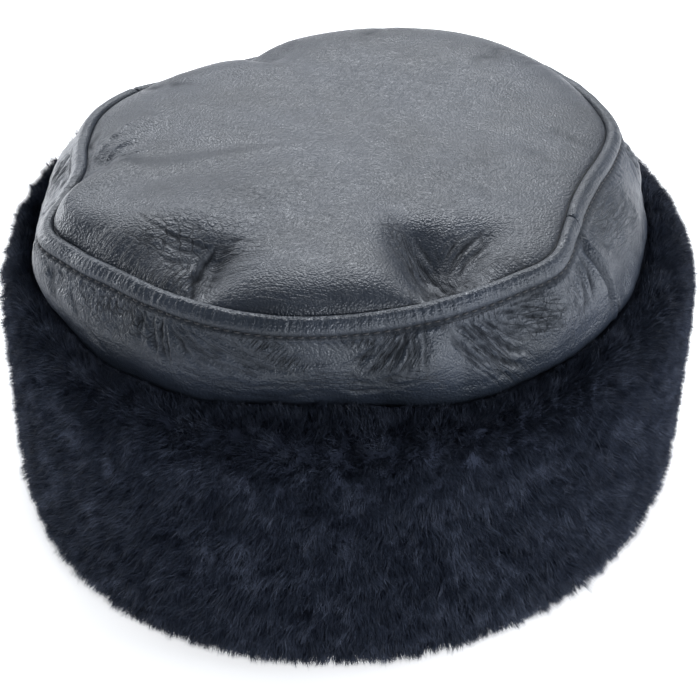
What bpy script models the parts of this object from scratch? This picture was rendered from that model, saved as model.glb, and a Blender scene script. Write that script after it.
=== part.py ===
"""Kubanka: a low round hat with a soft, dented leather crown and a deep band of sheared fur.

Metres, +Z up. The hat stands on its flat rim at Z = 0, with its long axis along Y and its front
toward -Y. Profiles are worked out in millimetres and scaled when a mesh is made.
"""
import math

import bmesh
import bpy
import numpy as np
from mathutils import Vector

MM = 0.001

# ---- driving dimensions, mm ----
FUR_HALF_WIDTH = 114.0        # outer form of the pile, across
FUR_HALF_LENGTH = 123.2       # outer form of the pile, front to back
FUR_FOOT_IN = 1.8             # how far the foot of the band is set in from its top
HEAD_HALF_WIDTH = 88.0        # the opening for the head
HEAD_HALF_LENGTH = 94.0
FUR_HEIGHT = 91.0             # top of the pile above the floor
LEATHER = 1.5                 # thickness of the leather
SEAM_GAP = 0.4                # clearance left between pieces that meet
ALLOWANCE = 5.0               # seam allowance turned down inside
CROWN_MIDDLE = 124.5          # height of the middle of the crown
AROUND = 88                   # sections around the hat, a multiple of 8
SIDE_SEAM_ANGLE = -4 * 360.0 / AROUND   # upright seam of the side panel, and its opposite, degrees

# ---- the crown, section by section around the hat ----
# angle: 0 is +X, -90 the front. seam: the welt seam between top and side panel. rim_rise: how far
# the top panel puffs up over the seam. rim_power: large for a tight roll, small for a long slope.
# edge: the lowest visible edge of the side panel, where it lies on the fur. fur_lift: extra height
# of the pile beside it. fur_out: extra radius of the pile.
CROWN_COLUMNS = ("angle", "seam_r", "seam_z", "rim_rise", "rim_power", "edge_r", "edge_z", "fur_lift", "fur_out")
CROWN_SECTIONS = (
    (-180.0, 89.0, 116.5, 5.0, 6.0, 105.0, 90.0, 4.0, 1.4),
    (-168.0, 87.0, 116.5, 4.5, 5.0, 105.0, 90.0, 3.0, 1.2),
    (-156.0, 86.0, 116.5, 4.0, 5.0, 104.5, 89.5, 1.0, 0.5),
    (-147.0, 91.5, 116.0, 6.5, 7.0, 105.0, 89.0, 0.0, 0.0),
    (-138.0, 100.5, 115.5, 8.0, 12.0, 105.0, 89.0, 0.0, 0.0),
    (-128.0, 98.0, 115.5, 8.0, 9.0, 105.0, 88.5, 0.0, 0.0),
    (-117.0, 95.0, 116.0, 8.0, 5.5, 105.5, 88.0, 0.0, 0.0),
    (-107.0, 94.5, 116.0, 7.0, 4.0, 105.0, 88.0, 0.0, 0.0),
    (-97.0, 94.2, 116.0, 7.5, 7.0, 103.5, 88.0, 0.5, 0.0),
    (-86.0, 93.5, 116.2, 7.5, 11.0, 99.5, 88.5, 2.0, 0.0),
    (-74.0, 91.3, 116.6, 7.5, 11.0, 97.5, 89.0, 3.0, 0.0),
    (-64.0, 89.6, 117.1, 6.5, 8.0, 99.5, 88.5, 1.5, 0.0),
    (-54.0, 88.2, 117.7, 5.0, 4.0, 101.5, 88.0, 0.0, 0.0),
    (-41.0, 87.0, 118.5, 5.5, 3.6, 100.5, 88.5, 0.0, 0.0),
    (-30.0, 87.0, 119.2, 4.5, 4.5, 99.5, 89.0, 0.0, 0.5),
    (-20.0, 81.0, 120.2, 3.5, 6.0, 99.3, 89.5, 0.0, 1.0),
    (-10.0, 76.7, 120.8, 3.0, 7.0, 98.8, 90.0, 0.5, 1.2),
    (2.0, 76.5, 121.0, 3.0, 7.0, 97.6, 90.0, 1.0, 1.4),
    (14.0, 80.5, 120.0, 3.2, 7.0, 98.6, 90.5, 0.5, 1.1),
    (26.0, 86.0, 119.0, 4.5, 7.0, 100.0, 91.0, 0.0, 0.5),
    (40.0, 89.5, 117.0, 7.0, 9.0, 102.0, 91.0, 0.0, 0.0),
    (58.0, 93.5, 115.2, 11.3, 9.0, 104.5, 91.0, 0.0, 0.0),
    (76.0, 96.5, 114.5, 12.8, 9.0, 106.0, 91.0, 0.0, 0.0),
    (98.0, 95.0, 111.8, 14.8, 9.0, 106.0, 91.0, 0.5, 0.0),
    (119.0, 91.5, 109.6, 15.6, 8.5, 105.5, 91.0, 1.5, 0.0),
    (137.0, 87.5, 109.6, 14.0, 7.0, 105.0, 91.0, 2.5, 0.0),
    (152.0, 87.0, 111.5, 10.8, 6.5, 105.0, 90.5, 3.5, 0.3),
    (166.0, 89.0, 114.5, 7.5, 6.0, 105.5, 90.0, 4.0, 1.2),
)

# ---- dents and swells of the top panel, mm: a soft furrow from (x1, y1) to (x2, y2) ----
TOP_FORMS = (
    # name                 x1     y1     x2     y2   half_width  rise
    ("left lobe",        -62.0, -62.0, -44.0, -58.0, 15.0,   1.5),
    ("left notch",       -82.0, -46.0, -62.0, -27.0,  8.0,  -5.0),
    ("left front dent",  -17.0, -98.0, -19.0, -78.0,  7.0,  -5.0),
    ("beside the dent",  -34.0, -80.0, -30.0, -74.0, 11.0,  -2.0),
    ("front brow",         2.0, -80.0,  28.0, -74.0, 13.0,   1.0),
    ("right dent, left",  31.0, -44.0,  56.0, -78.0, 10.0,  -5.5),
    ("right dent, right", 54.0, -37.0,  52.0, -62.0,  9.0,  -2.5),
    ("right dent bowl",   43.0, -47.0,  45.0, -52.0, 13.0,  -2.0),
    ("rear left swell",  -72.0,  34.0, -54.0,  42.0, 10.0,   1.5),
    ("rear left dip",    -72.0,  64.0, -48.0,  55.0,  8.0,  -5.0),
    ("middle hollow",     -5.0,  30.0,   5.0,  34.0, 30.0,  -1.0),
)

# ---- section of the side panel: its outer face from the turned-down allowance to the tuck ----
# Points follow the seam (along = 0) or the lower edge (along = 1); dr and dz are added, mm.
SIDE_PROFILE = (
    # name               along    dr     dz
    ("allowance foot",   0.0,    0.0,  -ALLOWANCE),
    ("seam",             0.0,    0.0,  -0.3),
    ("welt shoulder",    0.0,    0.9,   1.1),
    ("welt crest",       0.0,    2.7,   1.3),
    ("welt outer side",  0.0,    4.8,  -0.5),
    ("stitch line",      0.0,    6.0,  -3.4),
    ("upper panel",      0.30,   5.8,  -1.2),
    ("middle panel",     0.52,   5.4,   0.0),
    ("belly",            0.78,   3.0,   0.0),
    ("lower panel",      0.93,   1.2,   1.0),
    ("edge",             1.0,   -0.4,   0.6),
)
TUCK_Z = -2.4                 # the flange that lies on the band, below the edge


def ring_value(column, angle):
    """A value of the crown table at any angle in degrees, by a smooth closed curve."""
    index = CROWN_COLUMNS.index(column)
    rows = np.array(CROWN_SECTIONS)
    nodes, values = rows[:, 0], rows[:, index]
    nodes = np.concatenate((nodes[-2:] - 360.0, nodes, nodes[:2] + 360.0))
    values = np.concatenate((values[-2:], values, values[:2]))
    slopes = np.gradient(values, nodes)
    angle = (np.asarray(angle, float) + 180.0) % 360.0 - 180.0
    i = np.clip(np.searchsorted(nodes, angle, side="right") - 1, 0, len(nodes) - 2)
    step = nodes[i + 1] - nodes[i]
    s = (angle - nodes[i]) / step
    return ((2 * s**3 - 3 * s**2 + 1) * values[i] + (s**3 - 2 * s**2 + s) * step * slopes[i]
            + (3 * s**2 - 2 * s**3) * values[i + 1] + (s**3 - s**2) * step * slopes[i + 1])


def oval(half_width, half_length, angle):
    """Radius of an ellipse at an angle in degrees."""
    a = np.radians(angle)
    return 1.0 / np.hypot(np.cos(a) / half_width, np.sin(a) / half_length)


def furrow(x, y, x1, y1, x2, y2, half_width):
    """1 on the segment, falling off smoothly to the sides."""
    dx, dy = x2 - x1, y2 - y1
    along = np.clip(((x - x1) * dx + (y - y1) * dy) / (dx * dx + dy * dy), 0.0, 1.0)
    away = np.hypot(x - x1 - along * dx, y - y1 - along * dy)
    return np.exp(-((away / half_width) ** 2))


def top_height(angle, t):
    """Height of the top panel at an angle and a fraction t of the seam's radius."""
    seam_z, rise = ring_value("seam_z", angle), ring_value("rim_rise", angle)
    power = ring_value("rim_power", angle)
    roll = np.clip(1.0 - t ** power, 0.0, 1.0) ** 0.6
    inward = (1.0 - t) ** 2 * (1.0 + 2.0 * t)
    z = seam_z + rise * roll + (CROWN_MIDDLE - seam_z - rise) * inward
    r = ring_value("seam_r", angle) * t
    x, y = r * np.cos(np.radians(angle)), r * np.sin(np.radians(angle))
    for _name, x1, y1, x2, y2, half_width, amount in TOP_FORMS:
        z = z + amount * furrow(x, y, x1, y1, x2, y2, half_width) * np.minimum(1.0, roll * 1.4)
    return z


def side_section(angle):
    """Outer face of the side panel at one angle: (radius, height) from seam to tuck."""
    seam_r, seam_z = ring_value("seam_r", angle), ring_value("seam_z", angle)
    edge_r, edge_z = ring_value("edge_r", angle), ring_value("edge_z", angle)
    section = []
    for _name, along, dr, dz in SIDE_PROFILE:
        section.append((seam_r + along * (edge_r - seam_r) + dr, seam_z + along * (edge_z - seam_z) + dz))
    head_r = oval(HEAD_HALF_WIDTH, HEAD_HALF_LENGTH, angle)
    section.append((max(edge_r - 3.0, head_r + 2.4), edge_z - 1.6))
    section.append((head_r + 1.2, edge_z + TUCK_Z))
    return section


def fur_section(angle):
    """Closed section of the fur band at one angle: (radius, height), inner foot first."""
    edge_r, edge_z = ring_value("edge_r", angle), ring_value("edge_z", angle)
    head_r = oval(HEAD_HALF_WIDTH, HEAD_HALF_LENGTH, angle)
    out_r = oval(FUR_HALF_WIDTH, FUR_HALF_LENGTH, angle) + ring_value("fur_out", angle)
    foot_r = out_r - FUR_FOOT_IN
    top_z = FUR_HEIGHT + ring_value("fur_lift", angle)
    ledge_r = max(edge_r - 3.0, head_r + 2.4)
    return [
        (head_r, 0.0), (head_r, 42.0), (head_r, edge_z + TUCK_Z - 1.6),
        (head_r + 1.3, edge_z + TUCK_Z - SEAM_GAP), (ledge_r + 0.1, edge_z - 1.6 - SEAM_GAP),
        (edge_r + 0.2, edge_z + 0.3), (edge_r + 2.2, edge_z + 1.8),
        (edge_r + 0.5 * (out_r - edge_r), top_z), (out_r - 3.0, top_z - 4.5),
        (out_r - 0.7, top_z - 11.0), (out_r, top_z - 22.0), (0.5 * (out_r + foot_r) + 0.4, 42.0),
        (foot_r, 15.0), (foot_r - 1.6, 6.0), (foot_r - 4.6, 1.6), (foot_r - 9.0, 0.0),
    ]


def ring_point(angle, radius, height):
    a = math.radians(angle)
    return (radius * math.cos(a) * MM, radius * math.sin(a) * MM, height * MM)


def add_skin(bm, rings, closed_ring, closed_section):
    """Quads between neighbouring sections; each ring is one section's row of vertices."""
    count = len(rings)
    for i in range(count if closed_ring else count - 1):
        here, there = rings[i], rings[(i + 1) % count]
        points = len(here)
        for j in range(points if closed_section else points - 1):
            k = (j + 1) % points
            bm.faces.new((here[j], here[k], there[k], there[j]))


def add_material(obj, name, colour, roughness, metallic=0.0):
    material = bpy.data.materials.new(name)
    material.use_nodes = True
    shader = material.node_tree.nodes["Principled BSDF"]
    shader.inputs["Base Color"].default_value = (*colour, 1.0)
    shader.inputs["Roughness"].default_value = roughness
    shader.inputs["Metallic"].default_value = metallic
    material.diffuse_color = (*colour, 1.0)
    obj.data.materials.append(material)


def finish_object(bm, name, outward_point, material, wall=None, even=True):
    """Turn the bmesh into a named object; a thin skin gets its thickness on its inner side."""
    bmesh.ops.recalc_face_normals(bm, faces=bm.faces[:])
    bm.faces.ensure_lookup_table()
    if outward_point is not None:
        face = min(bm.faces, key=lambda f: (f.calc_center_median() - outward_point[0]).length)
        if face.normal.dot(outward_point[1]) < 0.0:
            bmesh.ops.reverse_faces(bm, faces=bm.faces[:])
    mesh = bpy.data.meshes.new(name)
    bm.to_mesh(mesh)
    bm.free()
    mesh.shade_smooth()
    obj = bpy.data.objects.new(name, mesh)
    bpy.context.scene.collection.objects.link(obj)
    if wall:
        solid = obj.modifiers.new("leather", "SOLIDIFY")
        solid.thickness = wall * MM
        solid.offset = -1.0
        solid.use_even_offset = even
        solid.use_rim = True
    add_material(obj, *material)
    return obj


def make_fur_band():
    bm = bmesh.new()
    rings = []
    for i in range(AROUND):
        angle = 360.0 * i / AROUND
        rings.append([bm.verts.new(ring_point(angle, r, z)) for r, z in fur_section(angle)])
    add_skin(bm, rings, closed_ring=True, closed_section=True)
    return finish_object(bm, "fur_band", None, ("fur_black", (0.020, 0.022, 0.030), 0.9))


def make_side_panel(name, start):
    """Half of the side panel, from the angle start round by 180 degrees, clear of the other half."""
    bm = bmesh.new()
    rings = []
    steps = AROUND // 2
    trim = math.degrees(0.5 * SEAM_GAP / 92.0)
    for i in range(steps + 1):
        angle = start + 180.0 * i / steps
        if i == 0:
            angle += trim
        if i == steps:
            angle -= trim
        rings.append([bm.verts.new(ring_point(angle, r, z)) for r, z in side_section(angle)])
    add_skin(bm, rings, closed_ring=False, closed_section=False)
    middle = math.radians(start + 90.0)
    out = Vector((math.cos(middle), math.sin(middle), 0.0))
    outward = (out * 0.104 + Vector((0.0, 0.0, 0.098)), out)
    return finish_object(bm, name, outward, ("leather_side", (0.055, 0.058, 0.065), 0.45), wall=LEATHER)


def make_top_panel():
    """A square grid drawn out to the seam's outline, then turned down into the seam."""
    bm = bmesh.new()
    side = AROUND // 4
    grid = {}
    for i in range(side + 1):
        for j in range(side + 1):
            u, v = 2.0 * i / side - 1.0, 2.0 * j / side - 1.0
            t = max(abs(u), abs(v))
            if t < 1e-9:
                angle = 0.0
            elif abs(u) >= abs(v):
                angle = 45.0 * v / u + (0.0 if u > 0 else 180.0)
            else:
                angle = 90.0 - 45.0 * u / v + (0.0 if v > 0 else 180.0)
            t = 1.0 - (1.0 - t) ** 1.45
            radius = (float(ring_value("seam_r", angle)) - SEAM_GAP) * t
            grid[i, j] = bm.verts.new(ring_point(angle, radius, float(top_height(angle, t)) - 0.3))
    for i in range(side):
        for j in range(side):
            bm.faces.new((grid[i, j], grid[i + 1, j], grid[i + 1, j + 1], grid[i, j + 1]))
    rim = [grid[i, 0] for i in range(side)] + [grid[side, j] for j in range(side)]
    rim += [grid[side - i, side] for i in range(side)] + [grid[0, side - j] for j in range(side)]
    foot = [bm.verts.new((v.co.x, v.co.y, v.co.z - (ALLOWANCE - 0.3) * MM)) for v in rim]
    for i in range(len(rim)):
        k = (i + 1) % len(rim)
        bm.faces.new((rim[i], rim[k], foot[k], foot[i]))
    outward = (Vector((0.0, 0.0, CROWN_MIDDLE * MM)), Vector((0.0, 0.0, 1.0)))
    return finish_object(bm, "crown_top", outward, ("leather_top", (0.075, 0.080, 0.088), 0.42), wall=LEATHER, even=False)


def main():
    for obj in list(bpy.data.objects):
        bpy.data.objects.remove(obj, do_unlink=True)
    make_fur_band()
    make_side_panel("crown_side_front", SIDE_SEAM_ANGLE - 180.0)
    make_side_panel("crown_side_back", SIDE_SEAM_ANGLE)
    make_top_panel()


main()
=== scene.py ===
"""Kubanka: a low round hat with a dented leather crown and a deep band of sheared fur, as it looks.

Metres in the scene; the forms below are worked out in millimetres. Front of the hat toward -Y.
"""
import math

import bpy
import numpy as np
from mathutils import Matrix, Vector


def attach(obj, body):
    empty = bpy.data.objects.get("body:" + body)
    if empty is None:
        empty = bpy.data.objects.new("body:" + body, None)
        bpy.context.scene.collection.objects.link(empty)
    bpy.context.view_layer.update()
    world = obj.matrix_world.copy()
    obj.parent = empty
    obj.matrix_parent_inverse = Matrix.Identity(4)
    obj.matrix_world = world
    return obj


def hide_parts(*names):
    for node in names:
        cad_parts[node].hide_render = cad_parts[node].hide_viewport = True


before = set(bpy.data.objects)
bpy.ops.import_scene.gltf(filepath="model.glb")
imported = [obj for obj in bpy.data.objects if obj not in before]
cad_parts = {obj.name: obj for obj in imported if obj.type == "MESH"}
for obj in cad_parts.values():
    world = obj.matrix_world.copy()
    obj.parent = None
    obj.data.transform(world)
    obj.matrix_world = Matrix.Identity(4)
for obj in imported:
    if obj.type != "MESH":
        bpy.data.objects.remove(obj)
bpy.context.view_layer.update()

MM = 0.001

# ---- forms ----
FUR_HALF_WIDTH = 114.0
FUR_HALF_LENGTH = 123.2
FUR_FOOT_IN = 1.8
HEAD_HALF_WIDTH = 88.0
HEAD_HALF_LENGTH = 94.0
FUR_HEIGHT = 91.0
LEATHER = 1.5
SEAM_GAP = 0.4
ALLOWANCE = 5.0
CROWN_MIDDLE = 124.5
SIDE_SEAM_ANGLE = -4 * 360.0 / 88

CROWN_COLUMNS = ("angle", "seam_r", "seam_z", "rim_rise", "rim_power", "edge_r", "edge_z", "fur_lift", "fur_out")
CROWN_SECTIONS = (
    (-180.0, 89.0, 116.5, 5.0, 6.0, 105.0, 90.0, 1.0, 1.4),
    (-168.0, 87.0, 116.5, 4.5, 5.0, 105.0, 90.0, 0.3, 1.2),
    (-156.0, 86.0, 116.5, 4.0, 5.0, 104.5, 89.5, 0.0, 0.5),
    (-147.0, 91.5, 116.0, 6.5, 7.0, 105.0, 89.0, 0.0, 0.0),
    (-138.0, 100.5, 115.5, 6.8, 20.0, 105.0, 89.0, 0.0, 0.0),
    (-128.0, 98.0, 115.5, 8.3, 19.0, 105.0, 88.5, 0.0, 0.0),
    (-117.0, 95.0, 116.0, 9.6, 15.0, 105.5, 88.0, 0.0, 0.0),
    (-107.0, 94.5, 116.0, 8.8, 11.5, 105.0, 88.0, 0.0, 0.0),
    (-97.0, 94.2, 116.0, 7.5, 7.0, 103.5, 88.0, 0.0, 0.0),
    (-86.0, 93.5, 116.2, 7.5, 11.0, 99.5, 88.5, 0.0, 0.0),
    (-74.0, 91.3, 116.6, 7.5, 11.0, 97.5, 89.0, 0.0, 0.0),
    (-64.0, 89.6, 117.1, 6.5, 8.0, 99.5, 88.5, 0.0, 0.0),
    (-54.0, 88.2, 117.7, 5.0, 4.0, 101.5, 88.0, 0.0, 0.0),
    (-41.0, 87.0, 118.5, 5.5, 3.6, 100.5, 88.5, 0.0, 0.0),
    (-30.0, 87.0, 119.2, 4.5, 4.5, 99.5, 89.0, 0.0, 0.5),
    (-20.0, 81.0, 120.2, 3.5, 6.0, 99.3, 89.5, 0.0, 1.0),
    (-10.0, 76.7, 120.8, 3.0, 7.0, 98.8, 90.0, 0.5, 1.2),
    (2.0, 76.5, 121.0, 3.0, 7.0, 97.6, 90.0, 1.0, 1.4),
    (14.0, 80.5, 120.0, 3.2, 7.0, 98.6, 90.5, 0.5, 1.1),
    (26.0, 86.0, 119.0, 4.5, 7.0, 100.0, 91.0, 0.0, 0.5),
    (40.0, 89.5, 117.0, 7.0, 9.0, 102.0, 91.0, 0.0, 0.0),
    (58.0, 93.5, 115.2, 11.3, 9.0, 104.5, 91.0, 0.0, 0.0),
    (76.0, 96.5, 114.5, 12.8, 9.0, 106.0, 91.0, 0.0, 0.0),
    (98.0, 95.0, 111.8, 14.8, 9.0, 106.0, 91.0, 0.5, 0.0),
    (119.0, 91.5, 109.6, 15.6, 8.5, 105.5, 91.0, 1.5, 0.0),
    (137.0, 87.5, 109.6, 14.0, 7.0, 105.0, 91.0, 1.5, 0.0),
    (152.0, 87.0, 111.5, 10.8, 6.5, 105.0, 90.5, 2.0, 0.3),
    (166.0, 89.0, 114.5, 7.5, 6.0, 105.5, 90.0, 2.5, 1.2),
)

TOP_FORMS = (
    # name                 x1     y1     x2     y2   half_width  rise
    ("left lobe",        -62.0, -62.0, -44.0, -58.0, 15.0,   1.5),
    ("lobe ridge",       -78.0, -58.0, -66.0, -37.0,  8.5,   3.2),
    ("left notch",       -84.0, -45.0, -74.0, -32.0,  5.0,  -2.6),
    ("fold bulge",       -77.0, -22.0, -70.0,  -5.0,  5.0,   1.2),
    ("behind the bulge", -84.5, -24.0, -85.0,  -6.0,  3.2,  -0.7),
    ("left front dent",  -17.0, -98.0, -19.0, -78.0,  7.0,  -5.0),
    ("beside the dent",  -34.0, -81.0, -30.0, -76.0, 10.0,  -2.0),
    ("front brow",         2.0, -80.0,  28.0, -74.0, 13.0,   1.0),
    ("right dent, left",  36.0, -52.0,  57.0, -79.0,  7.5,  -4.2),
    ("right dent, right", 55.0, -44.0,  53.0, -64.0,  7.5,  -2.4),
    ("right dent bowl",   46.0, -57.5,  50.0, -63.5, 11.5,  -4.6),
    ("rear left swell",  -72.0,  34.0, -54.0,  42.0, 10.0,   1.5),
    ("rear left dip",    -72.0,  64.0, -48.0,  55.0,  8.0,  -5.0),
    ("middle hollow",     -5.0,  30.0,   5.0,  34.0, 30.0,  -1.0),
)

SIDE_PROFILE = (
    # name               along    dr     dz
    ("allowance foot",   0.0,    0.0,  -ALLOWANCE),
    ("seam",             0.0,    0.0,  -0.3),
    ("welt shoulder",    0.0,    0.9,   1.1),
    ("welt crest",       0.0,    2.7,   1.3),
    ("welt outer side",  0.0,    4.8,  -0.5),
    ("stitch line",      0.0,    6.0,  -3.4),
    ("upper panel",      0.30,   5.8,  -1.2),
    ("middle panel",     0.52,   5.4,   0.0),
    ("belly",            0.78,   3.0,   0.0),
    ("lower panel",      0.93,   1.2,   1.0),
    ("edge",             1.0,   -0.4,   0.6),
)
TUCK_Z = -2.4
STATIONS = [row[0] for row in SIDE_PROFILE] + ["under", "tuck"]
STITCH, EDGE = STATIONS.index("stitch line"), STATIONS.index("edge")


def ring_value(column, angle):
    """A value of the crown table at any angle in degrees, by a smooth closed curve."""
    index = CROWN_COLUMNS.index(column)
    rows = np.array(CROWN_SECTIONS)
    nodes, values = rows[:, 0], rows[:, index]
    nodes = np.concatenate((nodes[-2:] - 360.0, nodes, nodes[:2] + 360.0))
    values = np.concatenate((values[-2:], values, values[:2]))
    slopes = np.gradient(values, nodes)
    angle = (np.asarray(angle, float) + 180.0) % 360.0 - 180.0
    i = np.clip(np.searchsorted(nodes, angle, side="right") - 1, 0, len(nodes) - 2)
    step = nodes[i + 1] - nodes[i]
    s = (angle - nodes[i]) / step
    return ((2 * s**3 - 3 * s**2 + 1) * values[i] + (s**3 - 2 * s**2 + s) * step * slopes[i]
            + (3 * s**2 - 2 * s**3) * values[i + 1] + (s**3 - s**2) * step * slopes[i + 1])


def oval(half_width, half_length, angle):
    a = np.radians(angle)
    return 1.0 / np.hypot(np.cos(a) / half_width, np.sin(a) / half_length)


def furrow(x, y, x1, y1, x2, y2, half_width):
    """1 on the segment, falling off smoothly to the sides."""
    dx, dy = x2 - x1, y2 - y1
    along = np.clip(((x - x1) * dx + (y - y1) * dy) / (dx * dx + dy * dy), 0.0, 1.0)
    away = np.hypot(x - x1 - along * dx, y - y1 - along * dy)
    return np.exp(-((away / half_width) ** 2))


def top_height(angle, t):
    """Height of the top panel at an angle and a fraction t of the seam's radius."""
    seam_z, rise = ring_value("seam_z", angle), ring_value("rim_rise", angle)
    power = ring_value("rim_power", angle)
    # the left front wall is a long even slope, the rest of the rim rolls over sooner
    turned = (np.asarray(angle) + 180.0) % 360.0 - 180.0
    slope = np.exp(-(((turned + 118.0) / 15.0) ** 4))
    roll = np.clip(1.0 - t ** power, 0.0, 1.0) ** (0.6 + 0.35 * slope)
    inward = (1.0 - t) ** 2 * (1.0 + 2.0 * t)
    z = seam_z + rise * roll + (CROWN_MIDDLE - seam_z - rise) * inward
    r = ring_value("seam_r", angle) * t
    x, y = r * np.cos(np.radians(angle)), r * np.sin(np.radians(angle))
    for _name, x1, y1, x2, y2, half_width, amount in TOP_FORMS:
        z = z + amount * furrow(x, y, x1, y1, x2, y2, half_width) * np.minimum(1.0, roll * 1.4)
    return z


def side_stations(angle):
    """Outer face of the side panel: radius and height at each station, arrays of (station, angle)."""
    angle = np.atleast_1d(np.asarray(angle, float))
    seam_r, seam_z = ring_value("seam_r", angle), ring_value("seam_z", angle)
    edge_r, edge_z = ring_value("edge_r", angle), ring_value("edge_z", angle)
    head_r = oval(HEAD_HALF_WIDTH, HEAD_HALF_LENGTH, angle)
    radius = [seam_r + along * (edge_r - seam_r) + dr for _n, along, dr, _dz in SIDE_PROFILE]
    height = [seam_z + along * (edge_z - seam_z) + dz for _n, along, _dr, dz in SIDE_PROFILE]
    radius += [np.maximum(edge_r - 3.0, head_r + 2.4), head_r + 1.2]
    height += [edge_z - 1.6, edge_z + TUCK_Z]
    return np.array(radius), np.array(height)


def side_scale():
    """Mean running length at each station, down the panel, mm."""
    radius, height = side_stations(np.linspace(-180.0, 180.0, 72, endpoint=False))
    steps = np.hypot(np.diff(radius, axis=0), np.diff(height, axis=0)).mean(1)
    return np.concatenate(([0.0], np.cumsum(steps)))


def side_point(angle, run):
    """Radius and height of the side panel at an angle and a mean running length, both 1-D arrays;
    the result has a row for each run and a column for each angle."""
    radius, height = side_stations(angle)
    scale = side_scale()
    i = np.clip(np.searchsorted(scale, run, side="right") - 1, 0, len(scale) - 2)
    step = (scale[i + 1] - scale[i])[:, None]
    s = (run - scale[i])[:, None] / step
    out = []
    for values in (radius, height):
        slopes = np.gradient(values, scale, axis=0)
        out.append((2 * s**3 - 3 * s**2 + 1) * values[i] + (s**3 - 2 * s**2 + s) * step * slopes[i]
                   + (3 * s**2 - 2 * s**3) * values[i + 1] + (s**3 - s**2) * step * slopes[i + 1])
    return out[0], out[1]


def down_panel(run):
    """0 at the stitch line, 1 at the lower edge."""
    scale = side_scale()
    return (np.asarray(run) - scale[STITCH]) / (scale[EDGE] - scale[STITCH])
# ---- end of forms ----


# ---- patterns ----
def noise(x, y, seed):
    """Smooth gradient noise over the plane, about -1 to 1."""
    random = np.random.RandomState(seed)
    order, turn = random.permutation(256), random.uniform(0.0, 2.0 * math.pi, 256)
    x, y = np.broadcast_arrays(np.asarray(x, float), np.asarray(y, float))
    column, row = np.floor(x).astype(int), np.floor(y).astype(int)
    fx, fy = x - column, y - row
    sx, sy = fx**3 * (fx * (fx * 6 - 15) + 10), fy**3 * (fy * (fy * 6 - 15) + 10)

    def corner(i, j):
        k = order[(order[(column + i) & 255] + row + j) & 255]
        return np.cos(turn[k]) * (fx - i) + np.sin(turn[k]) * (fy - j)

    near = corner(0, 0) * (1 - sx) + corner(1, 0) * sx
    far = corner(0, 1) * (1 - sx) + corner(1, 1) * sx
    return 1.55 * (near * (1 - sy) + far * sy)


def cracks(x, y, seed):
    """Distance from the borders of irregular cells about 1 across: 0 on a border."""
    random = np.random.RandomState(seed)
    jitter = random.uniform(0.1, 0.9, (64, 64, 2))
    column, row = np.floor(x).astype(int), np.floor(y).astype(int)
    first = np.full(x.shape, 9.0)
    second = np.full(x.shape, 9.0)
    for i in (-1, 0, 1):
        for j in (-1, 0, 1):
            point = jitter[(column + i) & 63, (row + j) & 63]
            away = np.hypot(column + i + point[..., 0] - x, row + j + point[..., 1] - y)
            second = np.minimum(second, np.maximum(first, away))
            first = np.minimum(first, away)
    return second - first


def smooth(low, high, value):
    s = np.clip((value - low) / (high - low), 0.0, 1.0)
    return s * s * (3.0 - 2.0 * s)


def crease(x, y, x1, y1, x2, y2, bow, depth, half_width, ridge):
    """A bowed crease from one point to another: a narrow valley, with a swelling on its left for a
    positive ridge and on its right for a negative one."""
    length = math.hypot(x2 - x1, y2 - y1)
    ax, ay = (x2 - x1) / length, (y2 - y1) / length
    reach = 5.0 * half_width + abs(bow) + 1.0
    out = np.zeros_like(x)
    near = ((x > min(x1, x2) - reach) & (x < max(x1, x2) + reach)
            & (y > min(y1, y2) - reach) & (y < max(y1, y2) + reach))
    if not near.any():
        return out
    px, py = x[near] - x1, y[near] - y1
    along, across = (px * ax + py * ay) / length, -px * ay + py * ax
    s = np.clip(along, 0.0, 1.0)
    across = across - 4.0 * s * (1.0 - s) * bow
    place = s * length
    across = across + 0.9 * half_width * noise(place / 5.5 + x1, y1 + y2, 55) + 0.4 * half_width * noise(place / 1.9, x2 + y1, 56)
    over = (along - s) * length
    fade = np.exp(-(over / half_width) ** 2) * (0.2 + 0.8 * np.minimum(1.0, 4.0 * s * (1.0 - s) + 0.15))
    fade = fade * np.clip(0.85 + 0.6 * noise(place / 4.5, x1 + y2, 57), 0.15, 1.3)
    across = across / (half_width * (0.65 + 0.5 * np.minimum(1.0, 4.0 * s * (1.0 - s))))
    valley = -depth * np.exp(-np.abs(across) ** 1.15)
    side = 1.0 if ridge >= 0 else -1.0
    swell = abs(ridge) * np.exp(-((across * side - 2.1) / 1.3) ** 2)
    swell = swell + 0.35 * abs(ridge) * np.exp(-((across * side + 2.1) / 1.3) ** 2)
    out[near] = fade * (valley + swell)
    return out


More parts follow.
